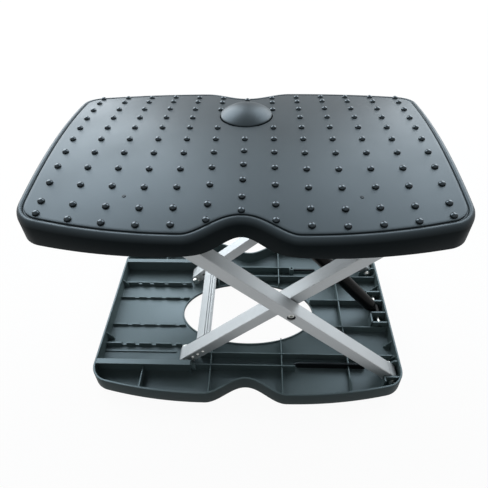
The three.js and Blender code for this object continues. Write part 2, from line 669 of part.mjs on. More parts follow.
function ring(x, y0, y1) {
  const low = Math.min(y0, y1);
  const high = Math.max(y0, y1);
  return rodY(x, 0, low, high, NUT_RADIUS).subtract(rodY(x, 0, low - OVERRUN, high + OVERRUN, holeRadius));
}

// Inner frame: its local X runs up from the sliding lower end to the pivot on the carrier
function buildInnerFrame(group) {
  const middle = LEG_PITCH / 2;
  for (const [side, word] of [[-1, "front"], [1, "rear"]]) {
    const y = (side * (INNER_FACE_Y + innerOuterY)) / 2;
    const across = (x, radius) =>
      rodY(x, 0, side * (INNER_FACE_Y - OVERRUN), side * (innerOuterY + OVERRUN), radius);
    const screwHoles = SCREW_PLACES.map((x) => across(x, SCREW_RADIUS + FIT));
    place(group, `inner_leg_${word}`, legTube(y, [across(middle, holeRadius), ...screwHoles]), ALUMINIUM());
    place(group, `inner_leg_foot_cap_${word}`, legCap(y, 0, 1, screwHoles), ALUMINIUM());
    place(group, `inner_leg_top_cap_${word}`, legCap(y, LEG_PITCH, -1, []), ALUMINIUM());
    place(group, `lower_bolt_${word}`, lowerBolt(side), BRIGHT_STEEL());
    const nutNear = side * (innerOuterY + FIT);
    place(group, `lower_nut_${word}`, hexNut(0, nutNear, nutNear + side * NUT_HEIGHT), BRIGHT_STEEL());
    SCREW_PLACES.forEach((x, i) => {
      place(group, `leg_screw_${word}_${i + 1}`, legScrew(x, side), BRIGHT_STEEL());
    });
  }
  place(group, "inner_cross_member", innerBar(), ALUMINIUM());
}

// Hexagon bolt that the inner leg slides on, its nut on the outside
function lowerBolt(side) {
  const headNear = side * (INNER_FACE_Y - FIT);
  const head = rodY(0, 0, headNear, headNear - side * BOLT_HEAD, BOLT_HEAD_RADIUS, 6);
  const end = side * (innerOuterY + FIT + NUT_HEIGHT + BOLT_END);
  return head.add(rodY(0, 0, headNear - (side * BOLT_HEAD) / 2, end, PIN_RADIUS));
}

// Screws near the leg's foot: those in reach of the cross member run into it
function legScrew(x, side) {
  const length = x > INNER_BAR_START ? BAR_SCREW_LENGTH : CAP_SCREW_LENGTH;
  const face = side * (innerOuterY + FIT / 2);
  const head = rodY(x, 0, face, face + side * SCREW_HEAD, SCREW_HEAD_RADIUS);
  return head.add(rodY(x, 0, face + (side * SCREW_HEAD) / 2, face - side * length, SCREW_RADIUS));
}

// Extruded bar: a plate with lengthwise grooves near its upper edge, on a web that takes the screws
function innerBar() {
  const reach = INNER_FACE_Y - FIT;
  const top = LEG_HEIGHT / 2;
  const x1 = INNER_BAR_START + INNER_BAR_WIDTH;
  const plate = box([INNER_BAR_START, -reach, top - INNER_BAR_SHEET], [x1, reach, top]);
  const webStart = INNER_BAR_START + INNER_WEB_INSET;
  const web = box(
    [webStart, -reach, -INNER_BAR_DROP],
    [webStart + INNER_WEB_WIDTH, reach, top - INNER_BAR_SHEET / 2],
  );
  const grooves = Array.from({ length: BAR_GROOVES }, (_, i) => {
    const x = x1 - BAR_GROOVE_INSET - i * BAR_GROOVE_PITCH;
    const half = BAR_GROOVE_WIDTH / 2;
    return box(
      [x - half, -reach - OVERRUN, top - BAR_GROOVE_DEPTH],
      [x + half, reach + OVERRUN, top + OVERRUN],
    );
  });
  const holes = SCREW_PLACES.filter((x) => x > INNER_BAR_START).flatMap((x) =>
    [-1, 1].map((side) => {
      const deep = side * (innerOuterY - BAR_SCREW_LENGTH - OVERRUN);
      return rodY(x, 0, side * (reach + OVERRUN), deep, SCREW_RADIUS + FIT);
    }),
  );
  return cut(plate.add(web), [...grooves, ...holes]);
}

// One channel rail of the carrier, open downwards, with a slot for the upper axle
function rail(side) {
  const x0 = lowSlideX - RAIL_END;
  const x1 = HINGE_X + RAIL_END;
  const top = pivotZ + RAIL_RISE;
  const ys = [side * (railInnerY - RAIL_SHEET), side * (railOuterY + RAIL_SHEET)].sort((a, b) => a - b);
  const hollow = [side * railInnerY, side * railOuterY].sort((a, b) => a - b);
  const outer = box([x0, ys[0], pivotZ - RAIL_DROP], [x1, ys[1], top]);
  const inner = box(
    [x0 - OVERRUN, hollow[0], pivotZ - RAIL_DROP - OVERRUN],
    [x1 + OVERRUN, hollow[1], top - RAIL_SHEET],
  );
  const slot = join([
    box([lowSlideX, ys[0] - OVERRUN, pivotZ - holeRadius], [slideX, ys[1] + OVERRUN, pivotZ + holeRadius]),
    rodY(lowSlideX, pivotZ, ys[0] - OVERRUN, ys[1] + OVERRUN, holeRadius),
    rodY(slideX, pivotZ, ys[0] - OVERRUN, ys[1] + OVERRUN, holeRadius),
  ]);
  const pinHole = rodY(HINGE_X, pivotZ, ys[0] - OVERRUN, ys[1] + OVERRUN, holeRadius);
  return cut(outer, [inner, slot, pinHole]);
}

// Strap between the rails with an upright ear that the platform rocks on
function tiltBracket(side) {
  const reach = railInnerY - RAIL_SHEET - FIT;
  const under = pivotZ + STRAP_RISE;
  const x = side * TILT_X;
  const strap = box([x - STRAP_WIDTH / 2, -reach, under], [x + STRAP_WIDTH / 2, reach, under + STRAP_SHEET]);
  const ear = box(
    [x - TILT_EAR / 2, -TILT_EAR_HALF, under + STRAP_SHEET / 2],
    [x + TILT_EAR / 2, TILT_EAR_HALF, tiltZ],
  );
  const round = rodX(0, tiltZ, x - TILT_EAR / 2, x + TILT_EAR / 2, TILT_EAR_HALF * TILT_EAR_ROUND_SHARE);
  const hole = rodX(0, tiltZ, x - TILT_EAR, x + TILT_EAR, TILT_PIN_RADIUS + FIT);
  return join([strap, ear, round]).subtract(hole);
}

// Hooked bracket over the gas spring's head, open to the left, on its own strap
function springBracket() {
  const reach = railInnerY - RAIL_SHEET - FIT;
  const under = headZ;
  const strap = box([HOOK_STRAP_X, -reach, under], [HOOK_STRAP_X + STRAP_WIDTH, reach, under + STRAP_SHEET]);
  const right = HEAD_X + holeRadius;
  const profile = [
    [HEAD_X - HOOK_BACK, headZ + holeRadius],
    [right, headZ + holeRadius],
    [right, headZ - HOOK_DROP],
    [HOOK_STRAP_X + HOOK_SHEET, under],
    [HOOK_STRAP_X + STRAP_WIDTH, under],
    [HOOK_STRAP_X + STRAP_WIDTH, under + STRAP_SHEET],
    [right, headZ + holeRadius + HOOK_SHEET],
    [HEAD_X - HOOK_BACK, headZ + holeRadius + HOOK_SHEET],
  ];
  const cheeks = [-1, 1].map((side) => {
    const ys = [0, HOOK_SHEET].map((t) => STRUT_Y + side * (HEAD_RADIUS + HOOK_GAP + t));
    return prismY(profile, Math.min(...ys), Math.max(...ys));
  });
  return join([strap, ...cheeks]);
}

function buildCarrier(root) {
  for (const [side, word] of [[-1, "front"], [1, "rear"]]) {
    place(root, `carrier_rail_${word}`, rail(side), BLACK_SHEET());
    const near = side * (railInnerY - RAIL_SHEET - OVERRUN);
    const far = side * (railOuterY + RAIL_SHEET + OVERRUN);
    place(root, `upper_hinge_pin_${word}`, rodY(HINGE_X, pivotZ, near, far, PIN_RADIUS), BRIGHT_STEEL());
  }
  for (const [side, word] of [[-1, "left"], [1, "right"]]) {
    place(root, `tilt_bracket_${word}`, tiltBracket(side), BLACK_SHEET());
    const x = side * TILT_X;
    const face = x - side * (TILT_EAR / 2 + FIT);
    const back = face - side * (TILT_LUG_GAP - 2 * FIT);
    const disc = rodX(0, tiltZ, face, back, DISC_RADIUS).subtract(
      rodX(0, tiltZ, x - TILT_LUG * 2, x + TILT_LUG * 2, TILT_PIN_RADIUS + FIT),
    );
    place(root, `tilt_friction_disc_${word}`, disc, BLACK_PLASTIC());
  }
  place(root, "spring_bracket", springBracket(), BLACK_SHEET());
}

// The platform's shell as one closed surface: the crowned top, the rounded edge with its
// groove, the skirt and the hollow underside. Each ring follows the outline at an inset and a fall
// below the crown, or runs along the skirt's lower edge.
function platformShell(drop = 0) {
  const rings = [
    { inset: GROOVE_INSET + GROOVE_WIDTH / 2, fall: 0 },
    { inset: GROOVE_INSET, fall: GROOVE_DEPTH },
    { inset: GROOVE_INSET - GROOVE_WIDTH, fall: GROOVE_DEPTH },
    { inset: GROOVE_INSET - GROOVE_WIDTH * GROOVE_SHOULDER_SHARE, fall: 0 },
    ...EDGE_INSET_SHARES.map((share, i) => ({
      inset: EDGE_ROUND * share,
      fall: EDGE_FALL * EDGE_FALL_SHARES[i],
    })),
    { inset: 0 },
    { inset: SKIRT_WALL },
    { inset: SKIRT_WALL, fall: EDGE_FALL + TOP_SHEET },
    { inset: SKIRT_WALL + EDGE_ROUND, fall: TOP_SHEET },
  ];
  const loops = rings.map(({ inset, fall }) =>
    outline(PLATFORM_HALF_WIDTH, PLATFORM_HALF_DEPTH, inset).map(([x, y]) => [
      x, y, fall === undefined ? skirtZ(x) : crownZ(y) - fall - drop,
    ]),
  );
  const count = loops[0].length;
  const triangles = [];
  const quad = (a, b, c, d) => triangles.push(a, b, c, a, c, d);
  for (let r = 0; r + 1 < loops.length; r++) {
    for (let i = 0; i < count; i++) {
      const j = (i + 1) % count;
      quad(loops[r][i], loops[r + 1][i], loops[r + 1][j], loops[r][j]);
    }
  }
  triangles.push(...crownedCap(loops[0], drop, true));
  triangles.push(...crownedCap(loops[loops.length - 1], TOP_SHEET + drop, false));
  const geometry = new THREE.BufferGeometry();
  geometry.setAttribute("position", new THREE.Float32BufferAttribute(triangles.flat(), 3));
  return solid(geometry);
}

// The crowned sheet inside a loop, as columns of strips between its front and back points
function crownedCap(loop, fall, up) {
  const count = loop.length;
  const sideCount = SIDE_STEPS - 1;
  const halfFront = (count - 2 * sideCount) / 4; // points from the notch to the corner's end
  const rightFront = Math.ceil(halfFront) - 1;
  const leftFront = count - rightFront;
  const columns = [];
  for (let i = -rightFront; i <= rightFront; i++) {
    const front = loop[(i + count) % count];
    const back = loop[count / 2 - i];
    const column = [];
    for (let j = 0; j <= SIDE_STEPS; j++) {
      const t = j / SIDE_STEPS;
      const x = front[0] + (back[0] - front[0]) * t;
      const y = front[1] + (back[1] - front[1]) * t;
      column.push([x, y, crownZ(y) - fall]);
    }
    column[0] = front;
    column[SIDE_STEPS] = back;
    if (i === rightFront) for (let j = 1; j < SIDE_STEPS; j++) column[j] = loop[rightFront + j];
    if (i === -rightFront) for (let j = 1; j < SIDE_STEPS; j++) column[j] = loop[leftFront - j];
    columns.push(column);
  }
  const triangles = [];
  for (let c = 0; c + 1 < columns.length; c++) {
    for (let j = 0; j < SIDE_STEPS; j++) {
      const corners = [columns[c][j], columns[c + 1][j], columns[c + 1][j + 1], columns[c][j + 1]];
      const [a, b, d, e] = up ? corners : [...corners].reverse();
      triangles.push(a, b, d, a, d, e);
    }
  }
  return triangles;
}

// A low dome on the crowned top
function stud(x, y) {
  const profile = [
    [0, -TOP_SHEET / 2],
    [STUD_RADIUS * (1 + TOP_SHEET / 2 / STUD_RISE * (1 - STUD_TOP_SHARE)), -TOP_SHEET / 2],
    [STUD_RADIUS * STUD_TOP_SHARE, STUD_RISE],
    [0, STUD_RISE],
  ].map(([radius, height]) => [radius, height + crownZ(y)]);
  return turned(profile, x, y, STUD_SIDES);
}

// Half of the platform's depth at a distance from its middle
function edgeY(x) {
  const points = quarterOutline(PLATFORM_HALF_WIDTH, PLATFORM_HALF_DEPTH);
  const next = points.findIndex((point) => point[0] >= x);
  if (next < 1) return next < 0 ? 0 : points[0][1];
  const [x0, y0] = points[next - 1];
  const [x1, y1] = points[next];
  return y0 + ((y1 - y0) * (x - x0)) / (x1 - x0);
}

// Rows of studs that bow with the outline, clear of the groove and the button
function studPlaces() {
  const places = [];
  const edgeRowY = PLATFORM_HALF_DEPTH - STUD_END_INSET;
  const columns = Math.floor((PLATFORM_HALF_WIDTH - STUD_SIDE_ROOM) / STUD_PITCH_X);
  const rows = Math.floor(edgeRowY / STUD_PITCH_Y);
  const lastShare = FRONT_BOW_SHARES.length - 1;
  for (let column = -columns; column <= columns; column++) {
    for (let row = -rows - 1; row <= rows + 1; row++) {
      const edge = Math.abs(row) > rows;
      const straight = edge ? Math.sign(row) * edgeRowY : row * STUD_PITCH_Y;
      const shares = row < 0 ? FRONT_BOW_SHARES : BACK_BOW_SHARES;
      const x = column * STUD_PITCH_X;
      const y = straight * (1 + shares[Math.min(Math.abs(column), lastShare)]);
      const clear = column === 0 ? STUD_CLEAR_MIDDLE : STUD_CLEAR;
      const offButton = edge || Math.hypot(x, y - BUTTON_Y) > BUTTON_RADIUS + clear;
      const onTop = Math.abs(y) < edgeY(Math.abs(x)) - GROOVE_INSET - GROOVE_WIDTH;
      if (offButton && onTop) places.push([x, y]);
    }
  }
  return places;
}

const buttonBaseZ = crownZ(BUTTON_Y);
const guideFloorTop = buttonBaseZ - BUTTON_SKIRT - BUTTON_TRAVEL - 2 * FIT;
const leverZ = guideFloorTop - GUIDE_FLOOR - LEVER_GAP - LEVER_SHEET;
const leverPinZ = leverZ + LEVER_SHEET / 2;

// The lugs under the platform that hold the tilt pins and the lever's pin
function platformLugs() {
  const pieces = [];
  const holes = [];
  for (const side of [-1, 1]) {
    for (const step of [-1, 1]) {
      const near = side * TILT_X + step * (TILT_EAR / 2 + TILT_LUG_GAP);
      const xs = [near, near + step * TILT_LUG].sort((a, b) => a - b);
      pieces.push(
        box([xs[0], -TILT_LUG_HALF, tiltZ - TILT_LUG_DROP], [xs[1], TILT_LUG_HALF, topZ - TOP_SHEET]),
      );
    }
    const reach = TILT_EAR + TILT_LUG_GAP + TILT_LUG;
    holes.push(rodX(0, tiltZ, side * TILT_X - reach, side * TILT_X + reach, TILT_PIN_RADIUS + FIT));
  }
  for (const step of [-1, 1]) {
    const near = HEAD_X + step * (LEVER_HALF + FIT);
    const xs = [near, near + step * LEVER_LUG].sort((a, b) => a - b);
    pieces.push(
      box(
        [xs[0], LEVER_PIVOT_Y - LEVER_LUG_HALF, leverPinZ - LEVER_LUG_HALF],
        [xs[1], LEVER_PIVOT_Y + LEVER_LUG_HALF, crownZ(LEVER_PIVOT_Y) - TOP_SHEET / 2],
      ),
    );
  }
  const past = LEVER_HALF + LEVER_LUG * 2;
  holes.push(rodX(LEVER_PIVOT_Y, leverPinZ, HEAD_X - past, HEAD_X + past, LEVER_PIN_RADIUS + FIT));
  return { lugs: join(pieces), holes };
}

function buildPlatform(root) {
  const { lugs, holes } = platformLugs();
  const buttonHole = rodZ(0, BUTTON_Y, tiltZ, topZ + BUTTON_RISE, BUTTON_RADIUS + BUTTON_GAP, BIG_SIDES);
  const studs = studPlaces().map(([x, y]) => stud(x, y));
  const body = cut(join([platformShell(), lugs, ...studs]), [buttonHole, ...holes]);
  place(root, "platform", body, PLATFORM_PLASTIC());
  place(root, "button_guide", buttonGuide(), BLACK_PLASTIC());
  place(root, "button_spring", buttonSpring(), BRIGHT_STEEL());
  for (const [side, word] of [[-1, "left"], [1, "right"]]) {
    const reach = TILT_EAR / 2 + TILT_LUG_GAP + TILT_LUG;
    const pin = rodX(0, tiltZ, side * TILT_X - reach, side * TILT_X + reach, TILT_PIN_RADIUS);
    place(root, `tilt_pin_${word}`, pin, BRIGHT_STEEL());
  }
  const reach = LEVER_HALF + FIT + LEVER_LUG;
  const leverPin = rodX(LEVER_PIVOT_Y, leverPinZ, HEAD_X - reach, HEAD_X + reach, LEVER_PIN_RADIUS);
  place(root, "lever_pin", leverPin, BRIGHT_STEEL());
  place(root, "foot_button", footButton(), PLATFORM_PLASTIC());
  place(root, "release_lever", releaseLever(), BRIGHT_STEEL());
}

// Cup under the platform that guides the button and carries its spring
function buttonGuide() {
  const bottom = guideFloorTop - GUIDE_FLOOR;
  const inner = BUTTON_RADIUS + BUTTON_GAP;
  const outer = inner + GUIDE_WALL;
  const cup = turned(
    [[0, bottom], [outer, bottom], [outer, topZ], [inner, topZ], [inner, guideFloorTop], [0, guideFloorTop]],
    0,
    BUTTON_Y,
  );
  const plungerHole = rodZ(
    0, BUTTON_Y - PLUNGER_SETBACK, bottom - OVERRUN, guideFloorTop + OVERRUN, PLUNGER_RADIUS + 2 * FIT,
  );
  const above = aboveCrown(TOP_SHEET / 2 + FIT, PLATFORM_HALF_WIDTH, PLATFORM_HALF_DEPTH);
  return cut(cup, [above, platformShell(FIT), plungerHole]);
}

// Domed cap with a short skirt, a boss for the spring and a plunger for the lever
function footButton() {
  const z = buttonBaseZ;
  const cap = (radius, rise) => {
    const sphere = (radius * radius + rise * rise) / (2 * rise);
    return Array.from({ length: BUTTON_STEPS + 1 }, (_, i) => {
      const r = (radius * i) / BUTTON_STEPS;
      return [r, z + rise - sphere + Math.sqrt(sphere * sphere - r * r)];
    });
  };
  const outside = cap(BUTTON_RADIUS, BUTTON_RISE);
  const inside = cap(BUTTON_RADIUS - BUTTON_SHELL, BUTTON_RISE - BUTTON_SHELL).reverse();
  const profile = [
    ...inside.reverse(),
    [BUTTON_RADIUS - BUTTON_SHELL, z - BUTTON_SKIRT],
    [BUTTON_RADIUS, z - BUTTON_SKIRT],
    ...outside.reverse(),
  ];
  const shell = turned(profile, 0, BUTTON_Y);
  const bossZ = z - BUTTON_SKIRT / 2;
  const boss = rodZ(0, BUTTON_Y, bossZ, z + BUTTON_RISE - BUTTON_SHELL / 2, BUTTON_BOSS_RADIUS);
  const plungerFoot = leverZ + LEVER_SHEET + FIT;
  const plunger = rodZ(0, BUTTON_Y - PLUNGER_SETBACK, plungerFoot, z + BUTTON_SHELL, PLUNGER_RADIUS);
  return join([shell, boss, plunger]);
}

// Coil between the guide's floor and the button's boss
function buttonSpring() {
  const z0 = guideFloorTop + SPRING_WIRE_RADIUS + FIT;
  const z1 = buttonBaseZ - BUTTON_SKIRT / 2 - SPRING_WIRE_RADIUS - FIT;
  class Coil extends THREE.Curve {
    getPoint(t, target = new THREE.Vector3()) {
      const angle = 2 * Math.PI * SPRING_TURNS * t;
      return target.set(
        SPRING_RADIUS * Math.cos(angle),
        BUTTON_Y + SPRING_RADIUS * Math.sin(angle),
        z0 + (z1 - z0) * t,
      );
    }
  }
  const wire = new THREE.Shape(
    Array.from({ length: WIRE_SIDES }, (_, i) => {
      const angle = (2 * Math.PI * i) / WIRE_SIDES;
      return new THREE.Vector2(SPRING_WIRE_RADIUS * Math.cos(angle), SPRING_WIRE_RADIUS * Math.sin(angle));
    }),
  );
  const steps = SPRING_TURNS * SPRING_TURN_STEPS;
  return solid(new THREE.ExtrudeGeometry(wire, { extrudePath: new Coil(), steps, bevelEnabled: false }));
}

// Flat lever from its pin, over the gas spring's release tip, to the button's plunger
function releaseLever() {
  const w = LEVER_HALF;
  const endY = BUTTON_Y - PLUNGER_SETBACK + PLUNGER_END;
  const turnY = endY - 2 * PLUNGER_END;
  const plan = [
    [HEAD_X - w, LEVER_PIVOT_Y],
    [HEAD_X + w, LEVER_PIVOT_Y],
    [HEAD_X + w, 0],
    [w, turnY],
    [w, endY],
    [-w, endY],
    [-w, turnY],
    [HEAD_X - w, LEVER_BARREL],
  ];
  const sheet = prism(plan, leverZ, leverZ + LEVER_SHEET);
  const barrel = rodX(LEVER_PIVOT_Y, leverPinZ, HEAD_X - w, HEAD_X + w, LEVER_BARREL);
  const hole = rodX(LEVER_PIVOT_Y, leverPinZ, HEAD_X - 2 * w, HEAD_X + 2 * w, LEVER_PIN_RADIUS + FIT);
  return sheet.add(barrel).subtract(hole);
}

// Gas spring in its own frame: along X from the pin on the tray to the pin under the carrier
function buildGasSpring(root) {
  const group = new THREE.Group();
  group.position.set(HINGE_X, STRUT_Y, hingeZ);
  group.rotation.y = Math.PI + strutAngle;
  root.add(group);
  const end = CYLINDER_START + CYLINDER_LENGTH;
  const along = (x0, x1, radius, sides) => rodX(0, 0, x0, x1, radius, sides);
  const eye = rodY(0, 0, -EYE_HALF, EYE_HALF, EYE_RADIUS);
  const neck = box([0, -EYE_HALF, -EYE_RADIUS / 2], [CYLINDER_START + OVERRUN, EYE_HALF, EYE_RADIUS / 2]);
  const pinHole = rodY(0, 0, -EYE_HALF - OVERRUN, EYE_HALF + OVERRUN, holeRadius);
  const bore = along(CYLINDER_BORE_START, end + OVERRUN, ROD_RADIUS + FIT);
  const tube = along(CYLINDER_START, end, CYLINDER_RADIUS, BIG_SIDES);
  const cylinder = cut(join([tube, eye, neck]), [bore, pinHole]);
  place(group, "gas_cylinder", cylinder, BLACK_STEEL());
  const collar = along(end + FIT, end + COLLAR_LENGTH, CYLINDER_RADIUS).subtract(
    along(end - OVERRUN, end + COLLAR_LENGTH + OVERRUN, ROD_RADIUS + FIT),
  );
  place(group, "cylinder_collar", collar, BLACK_PLASTIC());
  const headStart = strutLength - HEAD_LENGTH / 2;
  place(group, "piston_rod", along(end - ROD_INSIDE, headStart - FIT, ROD_RADIUS), BRIGHT_STEEL());
  const head = join([
    along(headStart, strutLength + HEAD_LENGTH / 4, HEAD_RADIUS),
    along(strutLength, strutLength + RELEASE_TIP, RELEASE_TIP_RADIUS),
  ]).subtract(rodY(strutLength, 0, -HEAD_RADIUS - OVERRUN, HEAD_RADIUS + OVERRUN, holeRadius));
  place(group, "release_head", head, BLACK_STEEL());
  const reach = HEAD_RADIUS + HOOK_GAP + HOOK_SHEET;
  place(group, "release_head_pin", rodY(strutLength, 0, -reach, reach, PIN_RADIUS), BRIGHT_STEEL());
}

const footrest = new THREE.Group();
buildBase(footrest);
const { outer, inner } = frames();
footrest.add(outer, inner);
buildOuterFrame(outer);
buildInnerFrame(inner);
buildCarrier(footrest);
buildPlatform(footrest);
buildGasSpring(footrest);

export default footrest;
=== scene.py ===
"""Tilting under-desk footrest: the pieces that show, their finishes and the stage, around the
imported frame. Shapes are worked out in millimetres and become metres as a mesh is made."""

import math

import bmesh
import bpy
from bpy.props import FloatProperty, FloatVectorProperty, PointerProperty
from mathutils import Matrix, Vector


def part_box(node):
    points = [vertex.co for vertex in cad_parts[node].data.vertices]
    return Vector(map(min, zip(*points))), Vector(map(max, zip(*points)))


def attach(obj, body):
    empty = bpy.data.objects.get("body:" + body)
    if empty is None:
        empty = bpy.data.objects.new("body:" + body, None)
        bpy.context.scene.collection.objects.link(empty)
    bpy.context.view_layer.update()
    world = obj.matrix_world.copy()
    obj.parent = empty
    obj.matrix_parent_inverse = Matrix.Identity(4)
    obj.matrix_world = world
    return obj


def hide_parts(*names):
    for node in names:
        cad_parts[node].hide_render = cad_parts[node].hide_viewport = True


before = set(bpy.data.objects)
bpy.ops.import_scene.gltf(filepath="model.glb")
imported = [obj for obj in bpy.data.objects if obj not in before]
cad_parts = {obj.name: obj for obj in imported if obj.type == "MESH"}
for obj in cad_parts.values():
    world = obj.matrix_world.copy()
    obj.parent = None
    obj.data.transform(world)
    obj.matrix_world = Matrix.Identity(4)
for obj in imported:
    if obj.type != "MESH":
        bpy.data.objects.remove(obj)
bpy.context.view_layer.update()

bl_info = {
    "name": "Under-desk footrest",
    "version": (1, 0, 0),
    "blender": (4, 5, 0),
    "location": "View3D > Sidebar > Footrest",
    "description": "Builds the visible pieces of a tilting under-desk footrest around its frame",
    "category": "Object",
}

MM = 0.001


def to_linear(hex_colour):
    """An sRGB colour written as six hex digits, as linear red, green and blue."""
    shares = [int(hex_colour[i : i + 2], 16) / 255 for i in (0, 2, 4)]
    return tuple(v / 12.92 if v <= 0.04045 else ((v + 0.055) / 1.055) ** 2.4 for v in shares)


def length(name, text, millimetres):
    metres = millimetres * MM
    return FloatProperty(name=name, description=text, default=metres, unit="LENGTH", precision=4)


def colour(name, text, hex_colour):
    values = {"default": to_linear(hex_colour), "subtype": "COLOR", "min": 0, "max": 1}
    return FloatVectorProperty(name=name, description=text, **values)


# Settings that a user would change


class PlatformSettings(bpy.types.PropertyGroup):
    half_width: length("Half width", "Half of the platform's width over its skirt", 232)
    half_depth: length("Half depth", "Half of the platform's depth over its skirt", 162)
    top: length("Top", "Height of the crown's middle line above the floor", 336.064)
    skirt: length("Skirt", "From the crown's middle line down to the skirt's edge", 43)
    skirt_arch: length("Skirt arch", "How far the skirt's edge rises at the notch", 8.3)
    skirt_dip: length("Skirt dip", "How far the edge hangs below that arch on its flanks", 4.6)
    sheet: length("Sheet", "Thickness of the moulded top", 3.2)
    stud_radius: length("Stud radius", "Radius of a stud's foot", 3.9)
    stud_rise: length("Stud rise", "Height of a stud above the top", 3.4)
    button_y: length("Button place", "From the middle of the platform back to the button", 64.5)
    button_radius: length("Button radius", "Radius of the foot button", 33)
    button_gap: length("Button gap", "Between the button and the hole that it stands in", 1.2)
    button_rise: length("Button rise", "Height of the button's crown above the platform", 14.5)
    button_lip: length("Button lip", "Height of the button's upright edge above the platform", 3)


class TraySettings(bpy.types.PropertyGroup):
    half_width: length("Half width", "Half of the tray's width", 226)
    half_depth: length("Half depth", "Half of the tray's depth", 156)
    under: length("Underside", "Height of the tray's underside above the floor", 1.5)
    rim: length("Rim", "Height of the rim above the floor", 27)
    wall: length("Wall", "Thickness of the rim's wall", 3)
    floor: length("Floor", "Height of the inner floor's surface", 4)
    hole_x: length("Hole half length", "Half length of the oval hole", 108)
    hole_y: length("Hole half width", "Half width of the oval hole", 63.5)
    hole_back: length("Hole setback", "From the middle back to the hole's centre", 8)
    rib: length("Rib", "Thickness of a rib at its foot", 2.4)


class FrameSettings(bpy.types.PropertyGroup):
    hinge_x: length("Hinge", "From the middle to the fixed hinges", 212)
    hinge_z: length("Hinge height", "Height of the lower hinge above the floor", 12.6)
    pitch: length("Leg pitch", "Between the pivots at a leg's two ends", 414)
    angle: FloatProperty(
        name="Leg angle",
        description="Rise of the legs",
        default=math.radians(42.4),
        subtype="ANGLE",
    )
    strut_y: length("Gas spring plane", "From the middle back to the gas spring", 8)
    head_x: length("Gas spring head", "Place of the gas spring's upper pin, across", -31)
    head_rise: length("Head rise", "Gas spring's upper pin above the carrier's pivots", 9.4)
    tube_radius: length("Tube radius", "Radius of the gas spring's tube", 10.5)


class FinishSettings(bpy.types.PropertyGroup):
    platform: colour("Platform", "Spark-eroded ABS of the platform and button", "1b2224")
    tray: colour("Tray", "Moulded polypropylene of the tray", "525f60")
    aluminium: colour("Legs", "Satin anodised aluminium of the legs", "c2c6c8")
    steel: colour("Fasteners", "Bright zinc-plated steel", "d9dbd8")


SETTINGS = {
    "footrest_platform": PlatformSettings,
    "footrest_tray": TraySettings,
    "footrest_frame": FrameSettings,
    "footrest_finish": FinishSettings,
}


# Materials


def add(tree, kind, inputs=None, **settings):
    """A node with its settings, and each input either joined to a socket or set to a value."""
    made = tree.nodes.new(kind)
    for key, value in settings.items():
        setattr(made, key, value)
    for key, value in (inputs or {}).items():
        if isinstance(value, bpy.types.NodeSocket):
            tree.links.new(value, made.inputs[key])
        else:
            made.inputs[key].default_value = value
    return made


def emptied(owner):
    """The node tree of a material or world, without its first nodes."""
    owner.use_nodes = True
    owner.node_tree.nodes.clear()
    return owner.node_tree


def scaled(rgb, share):
    """A lighter or darker tone of a linear colour."""
    return tuple(min(1, v * share) for v in rgb)


RANGE = ("Value", "From Min", "From Max", "To Min", "To Max")
NOISE_MIDDLE = (0.3, 0.7)  # a noise seldom leaves these values


def grained(name, rgb, roughness, tones, slow, fine, relief_mm, swing, bar=None, **inputs):
    """A material on the piece's own coordinates with two noises, each (millimetres, detail): its
    colour drifts between two shares of rgb with the slow one, and its relief follows the fine
    one. The roughness swings with the slow one, or with the fine one where bar, a turn and three
    sizes in millimetres, stretches that along a bar. Inputs go to the shader as they are."""
    tree = emptied(bpy.data.materials.new(name))
    place = add(tree, "ShaderNodeTexCoord").outputs["Object"]
    noises = [{"Vector": place, "Scale": 1 / (size * MM), "Detail": n} for size, n in (slow, fine)]
    if bar:
        values = {"Vector": place, "Rotation": bar[0], "Scale": [v * MM for v in bar[1]]}
        mapping = add(tree, "ShaderNodeMapping", values, vector_type="TEXTURE")
        noises[1].update(Vector=mapping.outputs["Vector"], Scale=1)
    drift, grain = (add(tree, "ShaderNodeTexNoise", values).outputs["Fac"] for values in noises)
    first, second = ((*scaled(rgb, share), 1) for share in tones)
    mix = add(tree, "ShaderNodeMix", {0: drift, 6: first, 7: second}, data_type="RGBA")
    ends = (roughness + change for change in swing)
    values = dict(zip(RANGE, (grain if bar else drift, *NOISE_MIDDLE, *ends)))
    rough = add(tree, "ShaderNodeMapRange", values)
    bump = add(tree, "ShaderNodeBump", {"Height": grain, "Distance": relief_mm * MM, "Strength": 1})
    shader = add(
        tree,
        "ShaderNodeBsdfPrincipled",
        {
            "Base Color": mix.outputs[2],
            "Roughness": rough.outputs["Result"],
            "Normal": bump.outputs["Normal"],
            **inputs,
        },
    )
    add(tree, "ShaderNodeOutputMaterial", {"Surface": shader.outputs["BSDF"]})
    return tree, shader.inputs


